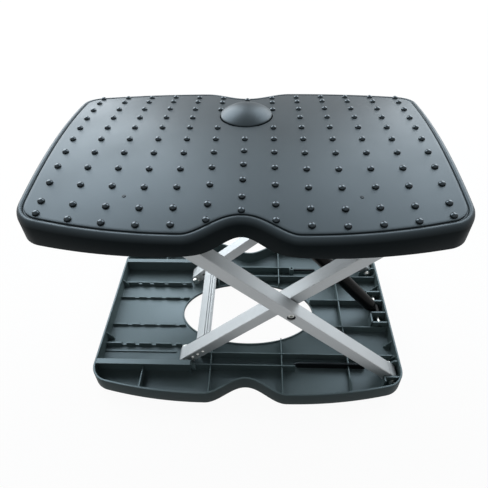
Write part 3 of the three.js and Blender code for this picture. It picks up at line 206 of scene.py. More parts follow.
def moulded_plastic(name, rgb, roughness, grain_mm, relief_mm, shine=(0.3, 0.3)):
    """Injection-moulded plastic from a spark-eroded mould: a fine even grain that spreads the
    light, slow shine changes where the melt flowed, and edges rubbed a little lighter. The
    sheen is a little blue, as the skin of a carbon-black moulding is. Faces that point up
    shine more than the sides, and that is painted shade: the sides' low shine keeps faces
    that look to the front, such as the skirt and the studs' fronts, dark."""
    tones, flow, grain, swing = (0.9, 1.1), (70, 3), (grain_mm, 2), (-0.03, 0.04)
    blue = {"Specular Tint": (0.7, 0.87, 1, 1)}
    tree, given = grained(name, rgb, roughness, tones, flow, grain, relief_mm, swing, **blue)
    pointiness = add(tree, "ShaderNodeNewGeometry").outputs["Pointiness"]
    normal = add(tree, "ShaderNodeTexCoord").outputs["Normal"]
    upward = add(tree, "ShaderNodeSeparateXYZ", {0: normal}).outputs["Z"]
    # Painted shade: faces that look sideways get less shine than faces that point up
    edge, painted_shade_shine = (
        add(tree, "ShaderNodeMapRange", dict(zip(RANGE, values))).outputs["Result"]
        for values in ((pointiness, 0.5, 0.6, 0, 0.5), (upward, 0.1, 0.9, *shine))
    )
    base, bare = given["Base Color"].links[0].from_socket, (*scaled(rgb, 1.6), 1)
    rubbed = add(tree, "ShaderNodeMix", {0: edge, 6: base, 7: bare}, data_type="RGBA")
    tree.links.new(rubbed.outputs[2], given["Base Color"])
    tree.links.new(painted_shade_shine, given["Specular IOR Level"])


def drawn_metal(name, rgb, roughness, turn, sizes_mm):
    """Extruded and satin anodised aluminium: soft lines along the bar from the die, which
    stretch the highlights across it, and a slow cloud from the etching bath."""
    tones, cloud, lines, swing = (0.94, 1.03), (35, 3), (1, 3), (-0.05, 0.06)
    bar = (turn, sizes_mm)
    grained(name, rgb, roughness, tones, cloud, lines, 0.012, swing, bar, Metallic=1)


def plated_steel(name, rgb, roughness):
    """Bright zinc plate on turned steel: fine turning marks and a faint cool bloom."""
    bloom, marks = (9, 2), (0.8, 1)
    grained(name, rgb, roughness, (0.9, 1), bloom, marks, 0.01, (-0.04, 0.08), Metallic=1)


def coated_steel(name, rgb, roughness, peel_mm, relief_mm, shine):
    """Black enamel or powder on steel: a slight orange peel in a smooth skin."""
    peel, skin = (peel_mm, 2), {"Specular IOR Level": shine}
    grained(name, rgb, roughness, (0.85, 1.15), peel, peel, relief_mm, (-0.04, 0.05), **skin)


ABS, RUBBED = "ABS spark-eroded dark grey", "ABS rubbed dark grey"
TRAY_PLASTIC, ACETAL = "Polypropylene dark grey", "Acetal black"
OUTER_LEGS, INNER_LEGS = "Aluminium anodised outer legs", "Aluminium anodised inner legs"
BARS, ZINC = "Aluminium anodised bars", "Zinc-plated steel"
ENAMEL, POWDER = "Enamelled steel black", "Powder-coated steel black"


def finishes():
    """Every finish by name, made once."""
    s = bpy.context.scene.footrest_finish
    leg = bpy.context.scene.footrest_frame.angle
    if ABS not in bpy.data.materials:
        # The last pair is the shine of the sides and of the top; the lower shine of the sides is
        # painted shade
        moulded_plastic(ABS, s.platform, 0.42, 1.1, 0.018, (0.05, 0.85))
        moulded_plastic(RUBBED, scaled(s.platform, 0.6), 0.13, 1.1, 0.003, (0.15, 1))
        moulded_plastic(TRAY_PLASTIC, s.tray, 0.42, 1.6, 0.02, (0.1, 0.8))
        moulded_plastic(ACETAL, to_linear("101213"), 0.4, 0.9, 0.01, (0.1, 0.3))
        moulded_plastic("Rubber black", to_linear("151515"), 0.8, 0.8, 0.03)
        for name, turn in ((OUTER_LEGS, leg), (INNER_LEGS, -leg)):
            drawn_metal(name, s.aluminium, 0.54, (0, turn, 0), (90, 0.5, 0.5))
        drawn_metal(BARS, s.aluminium, 0.5, (0, 0, 0), (0.5, 90, 0.5))
        plated_steel(ZINC, s.steel, 0.24)
        plated_steel("Chromed rod", to_linear("dfe1e2"), 0.12)
        coated_steel(ENAMEL, to_linear("060708"), 0.3, 1.4, 0.008, 0.12)
        coated_steel(POWDER, to_linear("141617"), 0.5, 0.9, 0.03, 0.4)
    return bpy.data.materials


# Meshes, in millimetres until they become a piece


def linked(name, data):
    """A new object in the scene, at its origin."""
    made = bpy.data.objects.new(name, data)
    bpy.context.scene.collection.objects.link(made)
    return made


def new_mesh(name, points, faces=()):
    """A mesh from points in millimetres."""
    mesh = bpy.data.meshes.new(name)
    mesh.from_pydata([[v * MM for v in p] for p in points], [], faces)
    return mesh


def piece(name, points, faces, material, body=None, slot=None, sharp=35, cutters=(), nodes=()):
    """A closed mesh in the row frame, its faces turned outwards. Closed shapes are cut out of it
    where there are cutters, and it rides on its body in place of the CAD nodes."""
    mesh = new_mesh(name, points, faces)
    work = bmesh.new()
    work.from_mesh(mesh)
    bmesh.ops.remove_doubles(work, verts=work.verts, dist=0.0005 * MM)
    bmesh.ops.recalc_face_normals(work, faces=work.faces)
    work.to_mesh(mesh)
    work.free()
    mesh.shade_smooth()
    mesh.set_sharp_from_angle(angle=math.radians(sharp))
    mesh.materials.append(finishes()[material])
    made = linked(name, mesh)
    for shape in cutters:
        tool = piece("cutter", *shape, ACETAL)
        cut = made.modifiers.new("cut", "BOOLEAN")
        cut.operation = "DIFFERENCE"
        cut.solver = "EXACT"
        cut.object = tool
        apply_all(made)
        bpy.data.objects.remove(tool)
    if body:
        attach(made, body)
    if nodes:
        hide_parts(*nodes)
    return made


def apply_all(made, sharp=40):
    """Turns a piece with modifiers into its plain result."""
    graph = bpy.context.evaluated_depsgraph_get()
    graph.update()
    result = bpy.data.meshes.new_from_object(made.evaluated_get(graph))
    made.modifiers.clear()
    made.data = result
    result.shade_smooth()
    result.set_sharp_from_angle(angle=math.radians(sharp))


def loft(rings, ends="caps"):
    """Points and faces of a skin over rings of equally many points. ends is caps, loop or open."""
    count = len(rings[0])
    points = [p for ring in rings for p in ring]
    faces = []
    last = len(rings) if ends == "loop" else len(rings) - 1
    for r in range(last):
        a, b = r * count, ((r + 1) % len(rings)) * count
        for i in range(count):
            j = (i + 1) % count
            faces.append((a + i, a + j, b + j, b + i))
    if ends == "caps":
        faces.append(tuple(reversed(range(count))))
        faces.append(tuple(range((len(rings) - 1) * count, len(rings) * count)))
    return points, faces


def merged(parts):
    """Several closed shapes' points and faces as one list."""
    points, faces = [], []
    for more_points, more_faces in parts:
        start = len(points)
        points += more_points
        faces += [tuple(start + i for i in face) for face in more_faces]
    return points, faces


SIDEWAYS = Matrix.Rotation(math.radians(90), 4, "Z")  # turns X to Y


def upright(x, y, z):
    """The place of a turned shape whose axis, X, points up."""
    return Matrix.Translation((x, y, z)) @ Matrix.Rotation(math.radians(-90), 4, "Y")


def middle(node):
    """A CAD node's middle, in millimetres."""
    low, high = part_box(node)
    return (low + high) / 2 / MM


def pin_height(node):
    """The height of a CAD pin's axis, in millimetres."""
    return sum(corner.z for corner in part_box(node)) / 2 / MM


def placed(shape, matrix):
    """A shape's points and faces, moved by a matrix."""
    points, faces = shape
    return [tuple(matrix @ Vector(p)) for p in points], faces


def turned(profile, sides=48, ends="caps"):
    """A profile of (along, radius) turned about the X axis. A third value, the corner radius of a
    hexagon, keeps that level's points within the hexagon too."""
    rings = []
    for along, radius, *hexagon in profile:
        ring = []
        for i in range(sides):
            a = 2 * math.pi * i / sides
            r = min(radius, hex_reach(a, *hexagon)) if hexagon else radius
            ring.append((along, r * math.cos(a), r * math.sin(a)))
        rings.append(ring)
    return loft(rings, ends)


def hex_reach(angle, radius):
    """Distance to a hexagon's side at an angle, for a hexagon of this corner radius."""
    part = (angle + math.pi / 6) % (math.pi / 3) - math.pi / 6
    return radius * math.cos(math.pi / 6) / math.cos(part)


def slab(outline_points, low, high, axis, round_mm=0.5):
    """An outline in two axes carried along the third, its edges rounded by shrinking both ends."""
    others = [i for i in range(3) if i != axis]
    cx = sum(p[0] for p in outline_points) / len(outline_points)
    cy = sum(p[1] for p in outline_points) / len(outline_points)

    def ring(at, shrink):
        made = []
        for x, y in outline_points:
            d = math.hypot(x - cx, y - cy)
            point = [0.0, 0.0, 0.0]
            point[axis] = at
            point[others[0]] = x + (cx - x) * shrink / d
            point[others[1]] = y + (cy - y) * shrink / d
            made.append(tuple(point))
        return made

    ends = ((low, round_mm), (low + round_mm, 0), (high - round_mm, 0), (high, round_mm))
    return loft([ring(at, shrink) for at, shrink in ends])


def sheet(outline_points, y, half, round_mm=0.3):
    """A sheet with this outline in X and Z, and half its thickness to either side of y."""
    return slab(outline_points, y - half, y + half, 1, round_mm)


def block(low, high, round_mm=0.4):
    """A box with its upright edges cut and its ends softened."""
    (x0, y0, z0), (x1, y1, z1) = low, high
    r = min(round_mm, 0.45 * (x1 - x0), 0.45 * (y1 - y0))
    plan = [
        (x0 + r, y0), (x1 - r, y0), (x1, y0 + r), (x1, y1 - r),
        (x1 - r, y1), (x0 + r, y1), (x0, y1 - r), (x0, y0 + r),
    ]
    return slab(plan, z0, z1, 2, min(round_mm, 0.4 * (z1 - z0)))


# The outline that the platform and the tray share

NOTCH_HALF_WIDTH = 59
NOTCH_DEPTH = 25
BOW_RADIUS = 620
CORNER_RADIUS = 30
NOTCH_STEPS, BOW_STEPS, CORNER_STEPS, SIDE_STEPS = 26, 16, 12, 24


def outline(half_width, half_depth, inset=0.0):
    """The outline anticlockwise from the front notch's apex, moved in by inset."""
    quarter = []
    for i in range(NOTCH_STEPS):
        t = i / NOTCH_STEPS
        depth = NOTCH_DEPTH / 2 * (1 + math.cos(math.pi * t))
        quarter.append((NOTCH_HALF_WIDTH * t, half_depth - depth))
    reach = half_width - CORNER_RADIUS - NOTCH_HALF_WIDTH
    turn = math.asin(reach / (BOW_RADIUS - CORNER_RADIUS))
    for i in range(BOW_STEPS):
        a = turn * i / BOW_STEPS
        x, fall = NOTCH_HALF_WIDTH + BOW_RADIUS * math.sin(a), BOW_RADIUS * (1 - math.cos(a))
        quarter.append((x, half_depth - fall))
    cx = half_width - CORNER_RADIUS
    cy = half_depth - BOW_RADIUS + (BOW_RADIUS - CORNER_RADIUS) * math.cos(turn)
    for i in range(CORNER_STEPS + 1):
        a = turn + (math.pi / 2 - turn) * i / CORNER_STEPS
        quarter.append((cx + CORNER_RADIUS * math.sin(a), cy + CORNER_RADIUS * math.cos(a)))
    corner = quarter[-1]
    side = [(corner[0], corner[1] * (2 * i / SIDE_STEPS - 1)) for i in range(1, SIDE_STEPS)]
    right = [(x, -y) for x, y in quarter] + side + quarter[::-1]
    whole = right + [(-x, y) for x, y in right[1:-1][::-1]]
    moved = []
    for i, (x, y) in enumerate(whole):
        x0, y0 = whole[i - 1]
        x1, y1 = whole[(i + 1) % len(whole)]
        d = math.hypot(x1 - x0, y1 - y0)
        moved.append((x - inset * (y1 - y0) / d, y + inset * (x1 - x0) / d))
    return moved


CROWN = 0.000614


def crown_z(y):
    """Height of the platform's crowned top, in millimetres."""
    return bpy.context.scene.footrest_platform.top / MM - CROWN * y * y


def crowned_cap(loop, fall):
    """The crowned sheet inside a loop of points, as strips between its front and its back."""
    count = len(loop)
    right = NOTCH_STEPS + BOW_STEPS + CORNER_STEPS
    points = []
    for i in range(-right, right + 1):
        front, back = loop[i % count], loop[(count // 2 - i) % count]
        points.append(front)
        for j in range(1, SIDE_STEPS):
            if abs(i) == right:
                points.append(loop[(i + j if i > 0 else i - j) % count])
                continue
            x, y = (a + (b - a) * (j / SIDE_STEPS) for a, b in zip(front[:2], back[:2]))
            points.append((x, y, crown_z(y) - fall))
        points.append(back)
    rows = SIDE_STEPS + 1
    starts = (c * rows + j for c in range(2 * right) for j in range(SIDE_STEPS))
    return points, [(a, a + rows, a + rows + 1, a + 1) for a in starts]


# How the platform's edge runs, from the flat top over the groove and the bead to the skirt's top:
# millimetres in from the edge, and millimetres below the crown
EDGE_PROFILE = (
    (12, 0), (9.6, 0), (9.1, 0.15), (8.8, 0.7), (8.6, 1.7), (7.6, 1.9), (7.1, 1.5), (6.85, 0.6),
    (6.3, 0), (5.3, -0.35), (4.1, -0.25), (2.9, 0.35), (1.8, 1.4), (0.9, 2.9), (0.3, 4.8), (0, 7),
)
SKIRT_WALL = 3
# The skirt's rounded edge: millimetres in from the outside, and above the edge
SKIRT_EDGE = ((0.4, 1.2), (0.9, 0.25), (1.6, 0), (2.4, 0.15), (SKIRT_WALL, 0.9))


def skirt_rise(x):
    """How far the skirt's lower edge arches up at a distance from the notch, in millimetres."""
    s = bpy.context.scene.footrest_platform
    flank = math.sin(math.pi * x / NOTCH_HALF_WIDTH) ** 2 if abs(x) < NOTCH_HALF_WIDTH else 0
    return s.skirt_arch / MM / (1 + (x / NOTCH_HALF_WIDTH) ** 2) - s.skirt_dip / MM * flank


def platform_cover():
    """The moulded top with its groove, bead and skirt, as one skin."""
    s = bpy.context.scene.footrest_platform
    w, d = s.half_width / MM, s.half_depth / MM
    sheet, low = s.sheet / MM, (s.top - s.skirt) / MM
    rings = []

    def under_crown(levels):
        """Rings at insets from the outline, each a fall below the crown."""
        for inset, fall in levels:
            rings.append([(x, y, crown_z(y) - fall) for x, y in outline(w, d, inset)])

    under_crown(EDGE_PROFILE)
    for inset, rise in SKIRT_EDGE:
        rings.append([(x, y, low + rise + skirt_rise(x)) for x, y in outline(w, d, inset)])
    under_crown(((SKIRT_WALL, 9), (3.6, 5.4), (5.6, 3.6), (8.5, sheet)))
    top, ceiling = crowned_cap(rings[0], 0), crowned_cap(rings[-1], sheet)
    shape = merged([loft(rings, "open"), top, ceiling])
    radius = (s.button_radius + s.button_gap) / MM
    at = upright(0, s.button_y / MM, s.top / MM)
    hole = placed(turned([(-40, radius), (40, radius)], 96), at)
    piece(
        "platform_cover", *shape, ABS, "rocking_platform", "platform_plastic",
        sharp=40, cutters=[hole], nodes=["platform"],
    )


# Geometry Nodes: parts repeated on points


def point_cloud(name, places, **attributes):
    """An object of loose points, in millimetres, with a vector attribute for each keyword."""
    mesh = new_mesh(name, places)
    for key, values in attributes.items():
        stored = mesh.attributes.new(key, "FLOAT_VECTOR", "POINT")
        stored.data.foreach_set("vector", [v for value in values for v in value])
    return linked(name, mesh)


def new_tree(name, **sockets):
    """A tree that takes points and these inputs, and gives pieces."""
    tree = bpy.data.node_groups.new(name, "GeometryNodeTree")
    for label, kind in {"Points": "Geometry", **sockets}.items():
        tree.interface.new_socket(label, in_out="INPUT", socket_type="NodeSocket" + kind)
    tree.interface.new_socket("Pieces", in_out="OUTPUT", socket_type="NodeSocketGeometry")
    return tree, tree.nodes.new("NodeGroupInput").outputs


def end_tree(tree, given, part, scale, turn=None):
    """Puts a part on each point and dresses it. Its scale and turn are a socket or the name of
    the points' own attribute."""
    inputs = {"Points": given["Points"], "Instance": part}
    kind = "GeometryNodeInputNamedAttribute"
    for key, value in (("Scale", scale), ("Rotation", turn)):
        if isinstance(value, str):
            value = add(tree, kind, {"Name": value}, data_type="FLOAT_VECTOR").outputs[0]
        if value:
            inputs[key] = value
    spots = add(tree, "GeometryNodeInstanceOnPoints", inputs)
    real = add(tree, "GeometryNodeRealizeInstances", {"Geometry": spots.outputs[0]})
    smooth = add(tree, "GeometryNodeSetShadeSmooth", {"Geometry": real.outputs[0]})
    finish = {"Geometry": smooth.outputs[0], "Material": given["Finish"]}
    dressed = add(tree, "GeometryNodeSetMaterial", finish)
    add(tree, "NodeGroupOutput", {"Pieces": dressed.outputs[0]})
    return tree


def stud_tree():
    """A low dome on each point: half of it is above the top."""
    tree, given = new_tree("Studs", Radius="Float", Rise="Float", Finish="Material")
    ball = add(tree, "GeometryNodeMeshUVSphere", {"Segments": 14, "Rings": 8, "Radius": 1.0})
    sizes = {0: given["Radius"], 1: given["Radius"], 2: given["Rise"]}
    size = add(tree, "ShaderNodeCombineXYZ", sizes)
    return end_tree(tree, given, ball.outputs["Mesh"], size.outputs[0])


def rib_tree():
    """A bar of each point's own size and turn, thinner at its top as moulded ribs are."""
    tree, given = new_tree("Moulded ribs", Draft="Float", Finish="Material")
    cube = add(tree, "GeometryNodeMeshCube", {"Size": (1, 1, 1)})
    position = add(tree, "GeometryNodeInputPosition").outputs[0]
    x, y, z = add(tree, "ShaderNodeSeparateXYZ", {0: position}).outputs
    height = add(tree, "ShaderNodeMath", {0: z, 1: 0.5}, operation="ADD").outputs[0]
    loss = add(tree, "ShaderNodeMath", {0: height, 1: given["Draft"]}, operation="MULTIPLY")
    left = add(tree, "ShaderNodeMath", {0: 1, 1: loss.outputs[0]}, operation="SUBTRACT")
    thin = add(tree, "ShaderNodeMath", {0: y, 1: left.outputs[0]}, operation="MULTIPLY")
    where = add(tree, "ShaderNodeCombineXYZ", {0: x, 1: thin.outputs[0], 2: z})
    moved = {"Geometry": cube.outputs["Mesh"], "Position": where.outputs[0]}
    bar = add(tree, "GeometryNodeSetPosition", moved)
    return end_tree(tree, given, bar.outputs[0], "size", "turn")


def copies_tree():
    """A whole part, such as a nut or a screw, on each point, with that point's turn."""
    tree, given = new_tree("Copies of a part", Part="Object", Finish="Material")
    part = add(tree, "GeometryNodeObjectInfo", {"Object": given["Part"]})
    return end_tree(tree, given, part.outputs["Geometry"], None, "turn")


def grown(points_object, maker, values, body, sharp=35):
    """Runs a tree over a cloud of points, keeps the plain mesh that it makes, and lets it ride."""
    tree = bpy.data.node_groups.get(maker[0]) or maker[1]()
    modifier = points_object.modifiers.new(maker[0], "NODES")
    modifier.node_group = tree
    for item in tree.interface.items_tree:
        if item.in_out == "INPUT" and item.name in values:
            modifier[item.identifier] = values[item.name]
    apply_all(points_object, sharp)
    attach(points_object, body)


STUDS = ("Studs", stud_tree)
RIBS = ("Moulded ribs", rib_tree)
COPIES = ("Copies of a part", copies_tree)

STUD_PITCH_X, STUD_PITCH_Y, STUD_EDGE_ROW = 34.41, 28.17, 4.729
FRONT_EDGE_BOW = (-0.071, 0.026, 0.074, 0.079, 0.06, 0.028, -0.027)
FRONT_BOW = (-0.071, 0.026, 0.074, 0.079, 0.06, 0.038, 0)
BACK_BOW = (-0.065, 0.011, 0.037, 0.056, 0.044, 0.035, 0)


def stud_places():
    """The studs' places: the rows bow with the outline, and the button takes the place of six."""
    places = []
    for column in range(-6, 7):
        for row in (-STUD_EDGE_ROW, -4, -3, -2, -1, 0, 1, 2, 3, 4, STUD_EDGE_ROW):
            bows = FRONT_EDGE_BOW if row == -STUD_EDGE_ROW else FRONT_BOW if row < 0 else BACK_BOW
            bow = bows[abs(column)]
            under_button = row in (1, 2, 3, 4) if column == 0 else abs(column) == 1 and row == 2
            y = row * STUD_PITCH_Y * (1 + bow)
            if not under_button:
                places.append((column * STUD_PITCH_X, y, crown_z(y)))
    return places


TRAY_SIDE = 223.4  # where the ribs run into the tray's side walls
RIB_ROOT = 0.5  # how deep the ribs stand in the floor
# Ribs along X as (y, from, to, height of the top), the same at the front and the rear but for one
RIBS_ALONG = [
    (y * side, x0, x1, top)
    for side in (-1, 1)
    for y, x0, x1, top in (
        (81, -71, TRAY_SIDE, 17), (102.3, -80, 73, 17.5), (27.6, 104.5, TRAY_SIDE, 16),
        (73, -TRAY_SIDE, -110, 5.8),
    )
] + [(102.3, 73, 152.5, 8.5)]
# Ribs across X as (x, from, to, height of the top)
RIBS_ACROSS = [
    (x, *sorted((y0 * side, y1 * side)), top)
    for side in (-1, 1)
    for x, y0, y1, top in (
        (-53.3, 58.25 + 6.25 * side, 153, 16), (53.3, 58.25 + 6.25 * side, 153, 16),
        (152.5, 0, 95, 15), (152.5, 95, 121.5, 11.5), (152.5, 121.5, 146.5, 17),
        (-153.5, 109, 146.5, 19), (-82.5, 96.5, 110, 20),
    )
]


def tray_ribs():
    """The plain ribs on the tray's floor."""
    s = bpy.context.scene.footrest_tray
    foot = s.floor / MM - RIB_ROOT
    ribs = [((x0 + x1) / 2, y, x1 - x0, top, 0) for y, x0, x1, top in RIBS_ALONG]
    ribs += [(x, (y0 + y1) / 2, y1 - y0, top, math.pi / 2) for x, y0, y1, top in RIBS_ACROSS]
    places = [(x, y, (foot + top) / 2) for x, y, reach, top, turn in ribs]
    sizes = [(reach * MM, s.rib, (top - foot) * MM) for x, y, reach, top, turn in ribs]
    turns = [(0, 0, turn) for x, y, reach, top, turn in ribs]
    cloud = point_cloud("tray_ribs", places, size=sizes, turn=turns)
    values = {"Draft": 0.35, "Finish": finishes()[TRAY_PLASTIC]}
    grown(cloud, RIBS, values, "base")


RACK_START, RACK_END, RACK_HALF = -223.2, -103, 1.1
RACK_STOPS = (-194, -173.5, -147, -115)
# Each rack's y, the height of its top and the depth of its notches
RACKS = ((-62, 11.5, 4.2), (-22.5, 8.5, 1.8), (35.9, 8.5, 1.8), (66.8, 12.5, 4.2))


def tray_racks():
    """The four notched ribs on the left, whose stops catch the sliding frame."""
    foot = bpy.context.scene.footrest_tray.floor / MM - RIB_ROOT
    parts = []
    for y, height, cut in RACKS:
        top = [(RACK_START, height)]
        for x in RACK_STOPS:
            top += [(x - 5, height), (x - 3.2, height - cut), (x + 3, height - cut)]
            top += [(x + 3.6, height + 0.2), (x + 9, height + 0.4), (x + 12, height)]
        top = [p for p in top if p[0] <= RACK_END] + [(RACK_END, height), (RACK_END + 2, foot)]
        side = [(RACK_START, foot), *top]
        parts.append(loft([[(x, y + t, z) for x, z in side] for t in (-RACK_HALF, RACK_HALF)]))
    piece("tray_racks", *merged(parts), TRAY_PLASTIC, "base", "tray_plastic")


FOOT_POCKET_RADIUS = 13.4


def tray_shell():
    """Floor, wall, rim and the lipped oval hole as one skin."""
    s = bpy.context.scene.footrest_tray
    w, d, wall = s.half_width / MM, s.half_depth / MM, s.wall / MM
    under, rim, floor = s.under / MM, s.rim / MM, s.floor / MM
    rings = []
    for inset, z in (
        (1.6, under), (0.5, under + 0.4), (0.1, under + 1.4), (0, under + 3), (0, rim - 1.2),
        (0.15, rim - 0.5), (0.6, rim - 0.06), (1.5, rim), (wall - 0.5, rim - 0.05),
        (wall - 0.1, rim - 0.5), (wall, rim - 1.2), (wall + 0.3, floor + 1.6),
        (wall + 0.9, floor + 0.4), (wall + 2, floor),
    ):
        rings.append([(x, y, z) for x, y in outline(w, d, inset)])
    base = outline(w, d, 0)
    back = s.hole_back / MM

    def oval(grow, z):
        a, b = s.hole_x / MM + grow, s.hole_y / MM + grow
        ring = []
        for x, y in base:
            t = math.atan2((y - back) * (d / (d + back) if y > back else 1) / b, x / a)
            ring.append((a * math.cos(t), back + b * math.sin(t), z))
        return ring

    rings += [
        oval(3.2, floor), oval(2.6, floor + 0.3), oval(2.3, floor + 1.6), oval(1.7, floor + 2.1),
        oval(0.6, floor + 2.1), oval(0.05, floor + 1.6), oval(0, floor), oval(0, under + 0.6),
        oval(0.6, under),
    ]
    pockets = []
    for word in ("front_left", "front_right", "rear_left", "rear_right"):
        foot = middle("rubber_foot_" + word)
        pocket = turned([(-3, FOOT_POCKET_RADIUS), (1.2, FOOT_POCKET_RADIUS)])
        pockets.append(placed(pocket, upright(foot.x, foot.y, under)))
    piece(
        "tray_shell", *loft(rings, "loop"), TRAY_PLASTIC, "base", "tray_plastic",
        sharp=40, cutters=pockets, nodes=["base_tray"],
    )


PIN_RADIUS, PIN_BORE = 4, 4.3
LEDGE_END, LEDGE_NEAR, LEDGE_FAR, LEDGE_WEB, HOOK_Y = -82, 102.5, 110.7, 105, 105.7
CHEEK_Y, OUTER_CHEEK_Y = 95.6, 120.4
BOX_NEAR, BOX_FAR, BOX_SHEET = 11, 33.5, 2.5  # the gas spring's box, from its plane
GUSSET_HALF, POST_X, POST_Y = 1.1, 77, 99
CHEEK_REACH, CHEEK_SHEET = 14, 2.4  # from the hinge to the cheeks' ends, and their thickness


def tray_fittings():
    """Ledges that keep the sliding bolts down, hinge cheeks, the gas spring's box, gussets, the
    post at the rear, and the black bars, which are painted shade: black sheets where the tray
    lies in shadow beside the rear post and along the front right pocket."""
    s = bpy.context.scene.footrest_tray
    f = bpy.context.scene.footrest_frame
    foot, rim = s.floor / MM - RIB_ROOT, s.rim / MM
    top = rim - 2.5
    hinge, hinge_z, strut = f.hinge_x / MM, f.hinge_z / MM, f.strut_y / MM
    cheek_end = hinge - CHEEK_REACH
    parts = []

    def bar(x0, x1, y0, y1, z1, z0=foot):
        parts.append(block((x0, min(y0, y1), z0), (x1, max(y0, y1), z1)))

    for side in (-1, 1):
        near, far = side * LEDGE_NEAR + 0.9, side * LEDGE_FAR + 0.7
        bar(-TRAY_SIDE, LEDGE_END, near, far, rim - 0.1, rim - 2.6)
        bar(-TRAY_SIDE, LEDGE_END, side * LEDGE_WEB, side * (LEDGE_WEB + 1.8), rim - 1)
        hook = [
            (LEDGE_END - 3, rim - 0.6), (LEDGE_END, rim - 0.6), (LEDGE_END + 6.5, rim - 11),
            (LEDGE_END + 6.5, rim - 15), (LEDGE_END + 4, rim - 15), (LEDGE_END - 3, rim - 4),
        ]
        parts.append(sheet(hook, side * HOOK_Y, 4))
        inner_cheek = [
            (cheek_end, foot), (cheek_end, 13), (hinge - 6, 17.5), (hinge + 1, 18.5),
            (hinge + 6, top), (TRAY_SIDE, top), (TRAY_SIDE, foot),
        ]
        parts.append(sheet(inner_cheek, side * CHEEK_Y, CHEEK_SHEET / 2))
        outside = side * (OUTER_CHEEK_Y + CHEEK_SHEET)
        bar(cheek_end, TRAY_SIDE, side * OUTER_CHEEK_Y, outside, top)
        bar(cheek_end, cheek_end + CHEEK_SHEET, side * 122.6, side * 129, top)
        near, far = strut + side * BOX_NEAR, strut + side * BOX_FAR
        bar(cheek_end, TRAY_SIDE, near, near + side * BOX_SHEET, top)
        bar(cheek_end, TRAY_SIDE, far - side * BOX_SHEET, far, top)
        bar(cheek_end, cheek_end + BOX_SHEET, near, far, top)
        for wall, y in ((-1, 57 + 7 * side), (1, 58), (1, 84)):
            x0 = 223.6 * wall
            slope = ((x0 - 11 * wall, foot), (x0 - 9.4 * wall, foot + 6))
            parts.append(sheet([(x0, foot), *slope, (x0, rim - 5)], side * y, GUSSET_HALF, 0.25))
    post = turned([(0, 4.6), (15, 4.3), (15.5, 3.9), (15.5, 2), (9, 1.8)], 28)
    parts.append(placed(post, upright(POST_X, POST_Y, foot)))
    at = Matrix.Translation((hinge, 0, hinge_z)) @ SIDEWAYS
    bore = placed(turned([(-150, PIN_BORE), (150, PIN_BORE)], 24), at)
    shape = merged(parts)
    piece("tray_fittings", *shape, TRAY_PLASTIC, "base", "tray_plastic", cutters=[bore])
    # Painted shade: black acetal bars where the tray lies in shadow, beside the rear post and along
    # the front right pocket
    bars = [block((80, 97.6, 12.6), (119, 100.6, 16.2))]
    front = [(72, 12.5), (77, 15.5), (178, 15.5), (178, 4.3), (77, 4.3), (72, 9)]
    bars.append(sheet(front, -96, 1.2))
    piece("tray_link", *merged(bars), ACETAL, "base", "black_plastic")


# The frame's moving pieces


def leg_matrix(outer):
    """From a leg's own frame, along X from its left end, to the row frame."""
    f = bpy.context.scene.footrest_frame
    span = f.pitch / MM * math.cos(f.angle)
    rise = f.pitch / MM * math.sin(f.angle)
    z = f.hinge_z / MM + (rise if outer else 0)
    turn = f.angle if outer else -f.angle
    return Matrix.Translation((f.hinge_x / MM - span, 0, z)) @ Matrix.Rotation(turn, 4, "Y")


def cross_members():
    """The inner frame's grooved extrusion, and the outer frame's plain tie."""
    start, end, web, web_end, low, flange, top = 32, 58.5, 36, 50, -3.2, 3, 8
    profile = [(web, low), (web_end, low), (web_end, flange), (end - 0.4, flange)]
    profile += [(end, flange + 0.4), (end, top - 0.5), (end - 0.5, top)]
    for x in (54.5, 49.2):
        profile += [(x + 0.9, top), (x + 0.7, top - 1.9), (x - 0.7, top - 1.9), (x - 0.9, top)]
    profile += [(start + 0.5, top), (start, top - 0.5), (start, flange + 0.4)]
    profile += [(start + 0.4, flange), (web, flange)]
    plain = [
        (58.6, -8), (77.4, -8), (78, -7.4), (78, -1.6), (77.4, -1), (58.6, -1), (58, -1.6),
        (58, -7.4),
    ]
    for name, outer, section, half in (
        ("ridged_cross_member", False, profile, 73.7), ("upper_tie", True, plain, 97.3)
    ):
        word = "outer" if outer else "inner"
        rings = [[(x, y, z) for x, z in section] for y in (-half, half)]
        shape, nodes = placed(loft(rings), leg_matrix(outer)), [word + "_cross_member"]
        piece(name, *shape, BARS, word + "_frame", "leg_aluminium", nodes=nodes)


# How the lower edges of the rails' walls rise in the middle: x, and millimetres up
RAIL_ARCH = ((-62, 0), (-54, 6.5), (70, 6.5), (78, 0))
RAIL_SHEET, RAIL_SLOT_INSET = 2, 10


def carrier_rails():
    """The carrier's channels, with a long slot for the upper axle."""
    f = bpy.context.scene.footrest_frame
    slide = (f.hinge_x - f.pitch * math.cos(f.angle)) / MM
    for word in ("front", "rear"):
        low, high = (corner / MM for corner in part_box("carrier_rail_" + word))
        near, far, inner_near, inner_far = low.y, high.y, low.y + RAIL_SHEET, high.y - RAIL_SHEET
        pivot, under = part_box("upper_axle")[0].z / MM + PIN_RADIUS, high.z - RAIL_SHEET
        rings = []
        for x, rise in ((low.x, 0), *RAIL_ARCH, (high.x, 0)):
            z = low.z + rise
            ring = [(near, z), (near, high.z), (far, high.z), (far, z)]
            ring += [(inner_far, z), (inner_far, under), (inner_near, under), (inner_near, z)]
            rings.append([(x, *point) for point in ring])
        slot = []
        for centre, start in ((slide, -90), (low.x + RAIL_SLOT_INSET, 90)):
            for step in range(13):
                a = math.radians(start + 15 * step)
                slot.append((centre + PIN_BORE * math.cos(a), pivot + PIN_BORE * math.sin(a)))
        at = Matrix.Translation((f.hinge_x / MM, (near + far) / 2, pivot)) @ SIDEWAYS
        bore = placed(turned([(-40, PIN_BORE), (40, PIN_BORE)], 28), at)
        piece(
            "rail_" + word, *loft(rings), POWDER, "carrier", "black_steel",
            cutters=[slab(slot, near - 2, far + 2, 1, 0.01), bore], nodes=["carrier_rail_" + word],
        )


